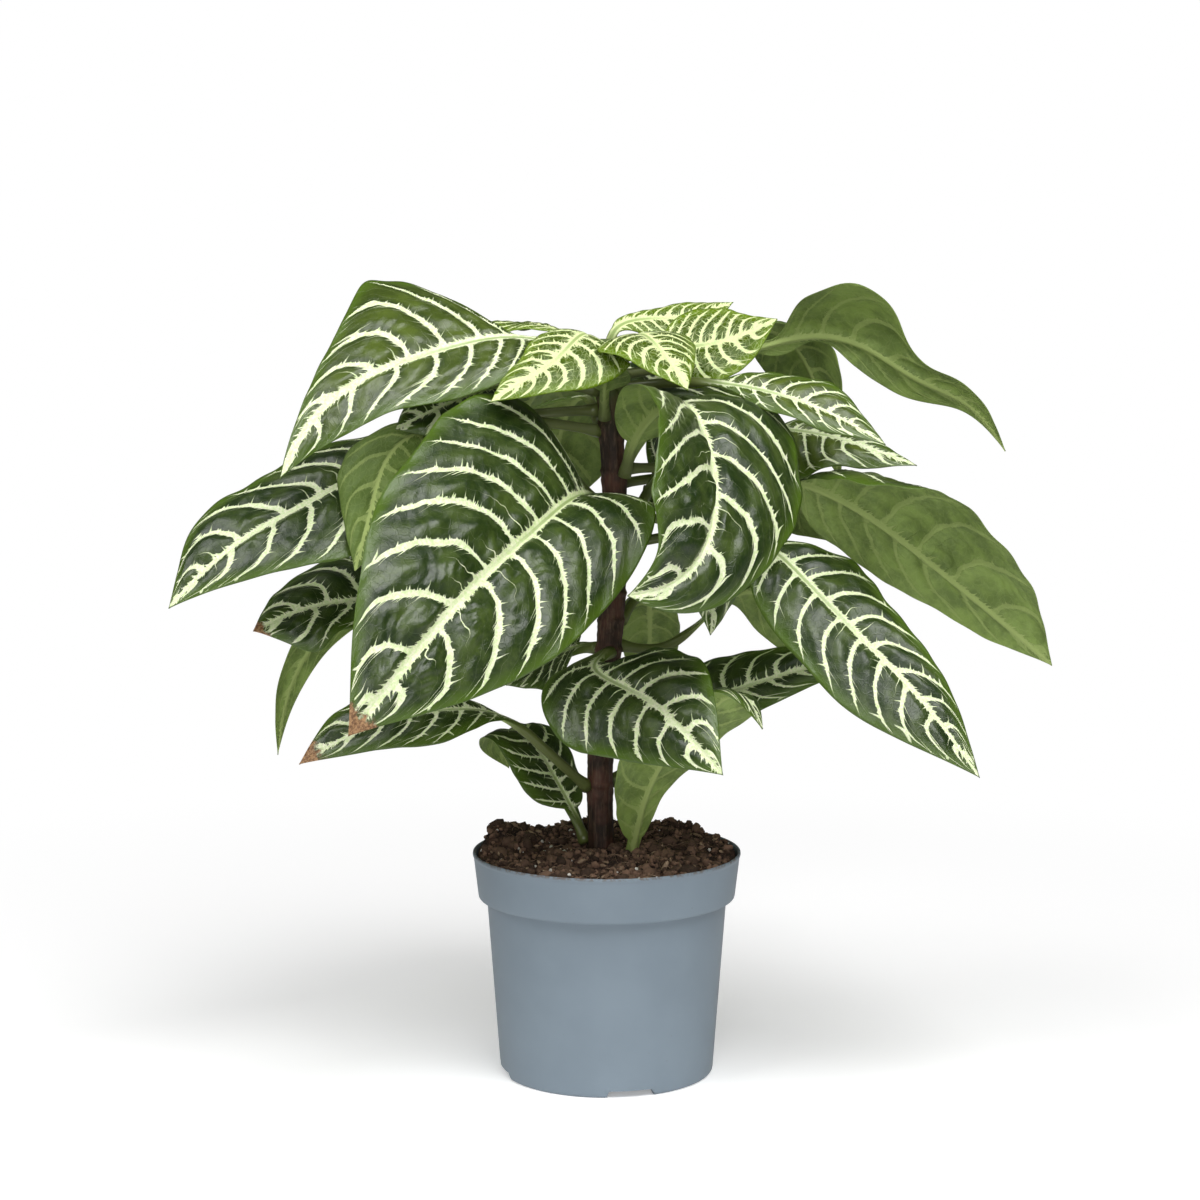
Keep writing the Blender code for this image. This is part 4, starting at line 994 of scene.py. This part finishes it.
def leaf_surface(shape, seed):
    """Points of one leaf as rings along its midrib, and what its finish needs to know of them.

    Each half of the blade is an arc that leaves the midrib at the fold angle F and bends by the
    curl angle K to its margin, so at a reach u, from 0 to 1, with lean = F - K u:
    side = W (sin F - sin lean) / K, and height = W (cos lean - cos F) / K + wave u^2.
    The surface is then pushed along its normal by its relief, down in the groove over the
    midrib, and out below the midrib in a keel. The underside is the same sheet one thickness
    lower. Along the stalk the ring is a circle, wider where it leaves the stem, and it turns
    into the blade's section round the blade's base.
    """
    curve, marks = smooth_path(shape["path"], FRAME_STEPS)
    length = np.linalg.norm(np.diff(curve, axis=0), axis=1).sum()
    base = marks[shape["blade_from"]]
    blade_length = (1 - base) * length
    up, right = carried_frame(curve)
    rows_stalk = max(6, int(base * length / STALK_CELL))
    even = np.linspace(0, 1, int(blade_length / CELL))
    spots = np.concatenate([np.linspace(0, base, rows_stalk, endpoint=False),
                            base + (1 - base) * even ** (1 - 0.12 * even)])
    grid = np.linspace(0, 1, FRAME_STEPS)
    centre, up, right = (
        np.stack([np.interp(spots, grid, field[:, k]) for k in range(3)], axis=1)
        for field in (curve, up, right))
    q = np.clip((spots - base) / (1 - base), 0, 1)
    column_q, distance = q[:, None], ((spots - base) * length)[:, None]
    roll = np.radians(ease(q, shape["roll"]))[:, None]
    out = up * np.cos(roll) - right * np.sin(roll)
    side = right * np.cos(roll) + up * np.sin(roll)

    # Round the ring: u runs from -1, the left margin, to 1, the right one, above and below.
    widest = max(max(shape["left"]), max(shape["right"]))
    columns = int(max(9, round(widest / CELL)))
    reach_half = np.concatenate([[0.3 / widest], np.linspace(1.3 / widest, 1, columns)])
    upper = np.concatenate([-reach_half[::-1], reach_half])
    u = np.concatenate([upper, upper[::-1]])[None, :]
    lower = (np.arange(u.size) >= upper.size)[None, :]
    below = lower != shape["turned"]
    reach, half, sign = np.abs(u), (u > 0).astype(int), np.sign(u)
    rows = np.arange(len(spots))[:, None]

    # The section: two arcs with a wave along their margins.
    least = np.maximum(STALK_RADIUS * (1 - q) ** STALK_TAPER, 0.12)
    width = np.stack([np.maximum(ease(q**WIDTH_CROWDING, shape[name]), least)
                      for name in ("left", "right")], axis=1)
    fold = np.radians(np.stack([ease(q, values) for values in shape["fold"]], axis=1))
    curl = np.radians(np.stack([ease(q, values) for values in shape["curl"]], axis=1))
    width, fold, curl = (values[rows, half] for values in (width, fold, curl))
    mean = width.mean(axis=1)
    height, count = shape["wave"]
    swell = (height * np.sin(np.pi * q) ** 0.7 * mean / mean.max())[:, None]
    lean = fold - curl * reach
    x = sign * width * (np.sin(fold) - np.sin(lean)) / curl
    y = width * (np.cos(lean) - np.cos(fold)) / curl
    y = y + swell * reach**2 * np.sin(2 * np.pi * (count * column_q + HALF_WAVE_SHIFT * half))

    # Its relief, thickness, groove and keel.
    slender, phase, pitch = side_veins(shape, seed, q, u, width, blade_length, widest)
    lift = leaf_relief(seed, column_q, distance, u, width, phase, pitch)
    across = reach * width
    keel = (0.3 + 1.3 * (1 - column_q)) * np.exp(-((across / 1.7) ** 2))
    thickness = SHEET * (1 - 0.6 * reach**4)
    groove = GROOVE * np.exp(-((across / 1.1) ** 2)) * (1 - 0.6 * column_q)
    raised = ((thickness / 2 + np.where(below, keel, -groove)) * np.where(lower, -1, 1)
              + lift * (1 - 2 * shape["turned"]))
    slant = lean * sign
    x = x - raised * np.sin(slant)
    y = y + raised * np.cos(slant)

    # The stalk, which turns into the blade.
    turns = np.radians(np.concatenate([np.linspace(170, 10, upper.size),
                                       np.linspace(-10, -170, upper.size)]))[None, :]
    flare = STALK_FLARE * np.exp(-((spots * length / 4) ** 2))[:, None]
    into_blade = step_up(distance, *BLADE_JOIN)
    stalk = STALK_RADIUS * (1 - 0.12 * into_blade) + flare
    x = (1 - into_blade) * stalk * np.cos(turns) + into_blade * x
    y = (1 - into_blade) * stalk * np.sin(turns) + into_blade * y
    outwards = (curve[1] - curve[0]) / np.linalg.norm(curve[1] - curve[0])
    centre = centre - (STALK_SUNK * np.exp(-spots * length / 1.5))[:, None] * outwards
    points = centre[:, None] + x[..., None] * side[:, None] + y[..., None] * out[:, None]

    same = np.zeros(x.shape)
    broad = 0.35 + 0.0112 * blade_length + 0.5 * shape["young"]
    midrib = broad * (1 - (0.35 + 0.4 * slender) * column_q) + same
    brown = shape["scorched"]
    scorch = step_up(column_q, 1 - 0.09 * brown, 1 - 0.015 * brown) if brown else 0
    stalked = 1 - step_up(distance, -14, 4) + same
    facts = {
        "leaf_place": (distance + same, across * sign, same + seed),
        "leaf_veins": (phase + 40 * half, pitch, midrib),
        "leaf_edge": (column_q + same, reach + same, width * (1 - reach)),
        "leaf_side": (below + same, stalked, scorch + same),
        "leaf_age": (same + shape["fresh"], same + shape["turned"], same + slender),
    }
    return points, spots, facts


def leaf_mesh(name, shape, seed):
    """A closed smooth mesh of one leaf, with its facts as point attributes and a flat map.

    In the map, across is the place round the ring and up is the place along the midrib.
    """
    points, spots, facts = leaf_surface(shape, seed)
    rows, columns = points.shape[:2]
    quads = grid_faces(rows, columns)[:, ::-1]
    first, last = np.arange(columns), (rows - 1) * columns + np.arange(columns)
    mesh = bpy.data.meshes.new(name)
    mesh.from_pydata((points.reshape(-1, 3) * MM).tolist(), [],
                     quads.tolist() + [first.tolist(), last[::-1].tolist()])
    for fact, values in facts.items():
        made = mesh.attributes.new(fact, "FLOAT_VECTOR", "POINT")
        made.data.foreach_set("vector", np.stack(values, axis=2).astype(np.float32).ravel())
    row, column = np.divmod(quads, columns)
    joined = (column.max(axis=1) - column.min(axis=1) > 1)[:, None] & (column == 0)
    around = (column + columns * joined) / columns
    caps = np.concatenate([first, last[::-1] % columns]) / columns
    cap_rows = np.repeat([0.0, 1.0], columns)
    flat = np.stack([np.concatenate([around.ravel(), caps]),
                     np.concatenate([spots[row].ravel(), cap_rows])], axis=1)
    layer = mesh.uv_layers.new(name="OFBake")
    layer.uv.foreach_set("vector", flat.astype(np.float32).ravel())
    mesh.shade_smooth()
    return mesh


MATURE_INPUTS = {
    "Blade": (0.010, 0.026, 0.0022),
    "Pale Blade": (0.076, 0.116, 0.022),
    "Fresh Blade": (0.112, 0.158, 0.018),
    "Margin": (0.072, 0.132, 0.009),
    "Vein": (0.88, 0.89, 0.67),
    "Underside": (0.250, 0.355, 0.078),
    "Underside Vein": (0.360, 0.455, 0.140),
    "Vein Width": 0.076,
    "Teeth": 1.3,
    "Net": 0.0,
    "Net Size": 3.2,
}
YOUNG_INPUTS = {
    "Blade": (0.026, 0.060, 0.001),
    "Pale Blade": (0.115, 0.176, 0.002),
    "Fresh Blade": (0.082, 0.135, 0.001),
    "Margin": (0.140, 0.232, 0.005),
    "Vein": (0.84, 0.88, 0.46),
    "Underside": (0.170, 0.250, 0.040),
    "Underside Vein": (0.34, 0.44, 0.13),
    "Vein Width": 0.126,
    "Teeth": 2.0,
    "Net": 0.22,
    "Net Size": 2.2,
}
MATURE_GLOSS = 0.52
YOUNG_GLOSS = 0.3
VEIN_GREEN = (0.62, 0.76, 0.36)
GROOVE_GREEN = (0.20, 0.30, 0.06)
SHADED_UNDERSIDE = (0.120, 0.180, 0.038)
STALK_GREEN = (0.105, 0.130, 0.032)
SCORCHED_GREEN = (0.110, 0.085, 0.035)
SCORCHED_DARK = (0.155, 0.072, 0.028)
SCORCHED_LIGHT = (0.43, 0.25, 0.115)
VEIN_SOFTNESS = 0.12     # half the width over which a vein's edge fades
HAIRS = 0.30             # hairs in each millimetre of a side vein
HAIR_STEP = 3.33         # and the length of vein that each has


def chance(tree, where):
    """An even random number from 0 to 1 for each different value of the vector."""
    node = tree.nodes.new("ShaderNodeTexWhiteNoise")
    tree.links.new(where, node.inputs["Vector"])
    return Flow(tree, node.outputs["Value"])


def leaf_pattern():
    """The node group that draws a leaf's veins: puts out Color, Roughness and Height."""
    tree = bpy.data.node_groups.new("leaf_pattern", "ShaderNodeTree")
    for name, value in MATURE_INPUTS.items():
        kind = "NodeSocketColor" if isinstance(value, tuple) else "NodeSocketFloat"
        tree.interface.new_socket(name, in_out="INPUT", socket_type=kind)
    for name, kind in (("Color", "NodeSocketColor"), ("Roughness", "NodeSocketFloat"),
                       ("Height", "NodeSocketFloat")):
        tree.interface.new_socket(name, in_out="OUTPUT", socket_type=kind)
    given = tree.nodes.new("NodeGroupInput").outputs
    result = tree.nodes.new("NodeGroupOutput").inputs

    facts = []
    for fact in ("leaf_place", "leaf_veins", "leaf_edge", "leaf_side", "leaf_age"):
        node = tree.nodes.new("ShaderNodeAttribute")
        node.attribute_name = fact
        facts.append(split(tree, node.outputs["Vector"]))
    (along, across, seed), (phase, pitch, midrib) = facts[:2]
    (q, reach, edge), (below, stalk, scorch) = facts[2:4]
    fresh, turned, slender = facts[4]
    off = abs(across)
    half = across.math("SIGN")
    teeth = Flow(tree, given["Teeth"]) * (1.0 - slender * 0.5)
    width = Flow(tree, given["Vein Width"])
    net = Flow(tree, given["Net"])
    soft = VEIN_SOFTNESS

    # A side vein is where the phase is whole. Its half-width runs to a point at the margin.
    sheet = vector(tree, along + seed * 31.0, across + half * 7.0, seed * 5.0)
    drift = noise(tree, sheet, 0.11, 1.0) - 0.5
    turned_phase = phase + drift * 0.22
    number = (turned_phase + 0.5).math("FLOOR")
    near = abs(turned_phase - number) * pitch
    taper = (1.0 - reach.rise(0.76, 1.01)) * (0.62 + reach.rise(0.0, 0.22) * 0.38)
    fillet = (1.0 - (off - midrib).rise(0.0, 3.2)) * 0.75 * pitch.rise(2.0, 12.0)
    body = pitch.least(16.0) * width * taper + fillet + 0.12
    lean = off - near * 0.7
    tooth = noise(tree, vector(tree, lean * 1.15, number * 3.7 + half, seed * 1.3), 1.0, 3.0, 0.7)
    toothed = tooth.rise(0.48, 0.82) * teeth * 2.0 * taper * pitch.rise(0.0, 9.0)
    side_vein = 1.0 - (near - body - toothed + 0.18).rise(-soft, soft)

    # A few long hairs leave each side vein and lean outwards.
    place = lean * HAIRS + number * 0.37
    luck = chance(tree, vector(tree, place.math("FLOOR"), number, seed + half))
    spot = abs(place.math("FRACT") - 0.5) * HAIR_STEP
    hair_length = 1.1 + luck * luck * 3.6
    hair = 1.0 - (spot - 0.30 + near / hair_length * 0.30).rise(-0.1, 0.1)
    hair = hair * luck.rise(0.50, 0.51) * taper.rise(0.1, 0.4)

    # The midrib's edge has spikes that lean forward, and short veins leave it between the others.
    ahead = along - off
    spike = noise(tree, vector(tree, ahead * 0.55, half * 9.0, seed * 2.1), 1.0, 3.0, 0.7)
    mid_vein = 1.0 - (off - midrib - spike.rise(0.44, 0.80) * teeth * 2.9).rise(-soft, soft)
    third = turned_phase * 3.0 + drift * 0.6
    third_number = (third + 0.5).math("FLOOR")
    third_near = abs(third - third_number) * pitch / 3.0
    third_luck = chance(tree, vector(tree, third_number, seed, half))
    third_end = 0.08 + third_luck * third_luck * third_luck * 0.42
    third_left = (1.0 - reach / third_end).most(0.0)
    short_vein = 1.0 - (third_near - third_left * 0.42 + 0.03).rise(-0.08, 0.08)

    # The net of small veins: the borders between the cells of a Voronoi pattern.
    size = Flow(tree, given["Net Size"])
    warp = noise(tree, sheet, 0.5, 1.0) - 0.5
    cells = tree.nodes.new("ShaderNodeTexVoronoi")
    cells.feature = "DISTANCE_TO_EDGE"
    cells.inputs["Scale"].default_value = 1.0
    tree.links.new(vector(tree, (along + warp * 2.0) / size, (across - warp * 2.0) / size,
                          seed), cells.inputs["Vector"])
    net_line = 1.0 - Flow(tree, cells.outputs["Distance"]).rise(0.015, 0.085)

    cream = side_vein.most(hair).most(mid_vein).most(short_vein).most(net_line * net)
    cream = cream * (1.0 - stalk) * edge.rise(0.15, 0.6)

    # The blade's green: cloudy between the veins, with painted shade darkening the tissue beside
    # each side vein, and smooth and richer along the margin.
    cloud = noise(tree, sheet, 0.07, 4.0, 0.6)
    fleck = noise(tree, sheet, 0.9, 3.0, 0.6)
    pale = cloud.rise(0.35, 0.7) * 0.7 + fleck.rise(0.4, 0.8) * 0.25
    green = blended(tree, pale, given["Blade"], given["Pale Blade"])
    green = blended(tree, fresh * (0.55 + pale * 0.45), green, given["Fresh Blade"])
    # Painted shade: the tissue beside each side vein is darkened towards the deep blade green, as a
    # crease shadow.
    beside = 1.0 - (near - body).rise(0.0, 3.6)
    green = blended(tree, beside * 0.6, green, given["Blade"])
    rim = 1.0 - edge.rise(0.5, 8.0)
    green = blended(tree, rim * 0.85, green, given["Margin"])
    tone = blended(tree, fleck.rise(0.3, 0.7), VEIN_GREEN, given["Vein"])
    groove = (1.0 - off.rise(0.35, 1.1)) * (1.0 - q.rise(0.12, 0.6))
    tone = blended(tree, groove * 0.75, tone, GROOVE_GREEN)
    top = blended(tree, cream, green, tone)

    # Below, dull green with faint veins, painted darker on a turned leaf as painted shade, then the
    # stalk, and brown where the tip is scorched.
    dull = blended(tree, cloud.rise(0.35, 0.65) * 0.85, given["Underside"], SHADED_UNDERSIDE)
    # Painted shade: the underside of a turned leaf is darkened towards the margin green.
    dull = blended(tree, turned * 0.65, dull, given["Margin"])
    below_vein = side_vein * 0.55 + net_line * 0.16
    bottom = blended(tree, below_vein.most(mid_vein), dull, given["Underside Vein"])
    face = blended(tree, below, top, bottom)
    face = blended(tree, stalk, face, STALK_GREEN)
    ragged = (noise(tree, sheet, 0.30, 4.0, 0.7) - 0.5) * 2.0
    char = scorch * 1.15 + ragged * scorch.rise(0.0, 0.4)
    burnt = char.rise(0.45, 0.60)
    brown = blended(tree, fleck.rise(0.35, 0.65), SCORCHED_DARK, SCORCHED_LIGHT)
    face = blended(tree, char.rise(0.20, 0.50) * 0.7, face, SCORCHED_GREEN)
    face = blended(tree, burnt, face, brown)
    tree.links.new(face, result["Color"])

    rough = 0.275 + fleck * 0.10 + cream * 0.12 + below * 0.28 + burnt * 0.25
    feed(tree, result["Roughness"], rough)
    grain = noise(tree, sheet, 1.6, 3.0, 0.6)
    sunk = cream * (below * 2.0 - 1.0) * 0.22
    leather = net_line * -0.05 + grain * 0.10
    feed(tree, result["Height"], sunk + leather * (1.0 - stalk))
    return tree


def leaf_finish(name, pattern, gloss, inputs):
    """A leaf material: the vein pattern with these values, under a waxy gloss."""
    material, tree, shader = new_material(name)
    group = tree.nodes.new("ShaderNodeGroup")
    group.node_tree = pattern
    for socket, value in inputs.items():
        feed(tree, group.inputs[socket], (*value, 1.0) if isinstance(value, tuple) else value)
    tree.links.new(group.outputs["Color"], shader.inputs["Base Color"])
    tree.links.new(group.outputs["Roughness"], shader.inputs["Roughness"])
    feed(tree, shader.inputs["Normal"], bumped(tree, Flow(tree, group.outputs["Height"]), 0.8))
    shader.inputs["IOR"].default_value = 1.5
    shader.inputs["Specular IOR Level"].default_value = gloss
    return material


pattern = leaf_pattern()
leaf_finishes = {
    "leaf_mature": leaf_finish("leaf_mature", pattern, MATURE_GLOSS, MATURE_INPUTS),
    "leaf_young": leaf_finish("leaf_young", pattern, YOUNG_GLOSS, YOUNG_INPUTS),
}
for seed, (name, shape) in enumerate(LEAVES.items(), 1):
    slot = "leaf_young" if shape["young"] else "leaf_mature"
    blade = leaf_mesh(f"blade_{name}", shape, seed)
    add_piece(f"blade_{name}", blade, leaf_finishes[slot], slot, name)

# ---------------------------------------------------------------------------------------------
# Stage. A plain pale floor that runs into a white surround, a wide soft light above on the
# right, weaker ones on the left and in front, and the camera a little above the plant's middle.
# ---------------------------------------------------------------------------------------------

FLOOR_SIZE = 30.0        # this and the places below are in metres
FLOOR_WHITE = 0.93
FLOOR_LIGHT = 0.35       # share of the floor's own light that reaches the plant
NEAR_GLOW = 0.27         # light the floor gives off near the pot, to soften the shadow
NEAR_REACH = (150, 700)  # the floor turns into the surround between these distances, in mm
SURROUND_LIGHT = 0.06    # share of the surround's light that reaches the plant
LIGHT_AIM = (0, 0, 0.2)
CAMERA_PLACE = (-0.003, -1.2, 0.358)
CAMERA_PITCH = math.radians(83.1)
CAMERA_LENS = 81.8

floor_mesh = bpy.data.meshes.new("floor")
corner = FLOOR_SIZE / 2
floor_mesh.from_pydata([(-corner, -corner, 0), (corner, -corner, 0), (corner, corner, 0),
                        (-corner, corner, 0)], [], [(0, 1, 2, 3)])
floor = bpy.data.objects.new("floor", floor_mesh)
bpy.context.scene.collection.objects.link(floor)
floor_material, floor_tree, floor_shader = new_material("pale_floor")
floor_x, floor_y = split(floor_tree, object_place(floor_tree))[:2]
away = ((floor_x * floor_x + floor_y * floor_y) ** 0.5).rise(*NEAR_REACH)
floor_shader.inputs["Roughness"].default_value = 0.9
floor_shader.inputs["Specular IOR Level"].default_value = 0.0
floor_seen = Flow(floor_tree, floor_tree.nodes.new("ShaderNodeLightPath").outputs[0])
feed(floor_tree, floor_shader.inputs["Emission Strength"],
     floor_seen.rise(0, 1) * (1 - FLOOR_LIGHT) + FLOOR_LIGHT)
feed(floor_tree, floor_shader.inputs["Base Color"],
     blended(floor_tree, away, (FLOOR_WHITE,) * 3, (0.0, 0.0, 0.0)))
feed(floor_tree, floor_shader.inputs["Emission Color"],
     blended(floor_tree, away, (NEAR_GLOW,) * 3, (1.0, 1.0, 1.0)))
floor_mesh.materials.append(floor_material)

world = bpy.data.worlds.new("surround")
world.use_nodes = True
world.node_tree.nodes["Background"].inputs["Color"].default_value = (1, 1, 1, 1)
shine = world.node_tree.nodes["Background"].inputs["Strength"]
seen = Flow(world.node_tree, world.node_tree.nodes.new("ShaderNodeLightPath").outputs[0])
feed(world.node_tree, shine, seen.rise(0, 1) * (1 - SURROUND_LIGHT) + SURROUND_LIGHT)
bpy.context.scene.world = world
bpy.context.scene.view_settings.view_transform = "Standard"


def soft_light(name, place, size, watts):
    """A square soft light of this size, in metres, that faces the middle of the plant."""
    light = bpy.data.lights.new(name, "AREA")
    light.shape = "SQUARE"
    light.size = size
    light.energy = watts
    obj = bpy.data.objects.new(name, light)
    bpy.context.scene.collection.objects.link(obj)
    obj.location = place
    facing = obj.location.copy() - Vector(LIGHT_AIM)
    obj.rotation_euler = facing.to_track_quat("Z", "Y").to_euler()


soft_light("key_light", (0.45, -0.8, 1.45), 1.1, 24)
soft_light("side_light", (-0.9, -0.5, 1.3), 0.9, 12)
soft_light("front_light", (0.0, -2.2, 0.5), 1.0, 12)

camera_data = bpy.data.cameras.new("camera")
camera_data.lens = CAMERA_LENS
camera = bpy.data.objects.new("camera", camera_data)
bpy.context.scene.collection.objects.link(camera)
camera.location = CAMERA_PLACE
camera.rotation_euler = (CAMERA_PITCH, 0, 0)
bpy.context.scene.camera = camera
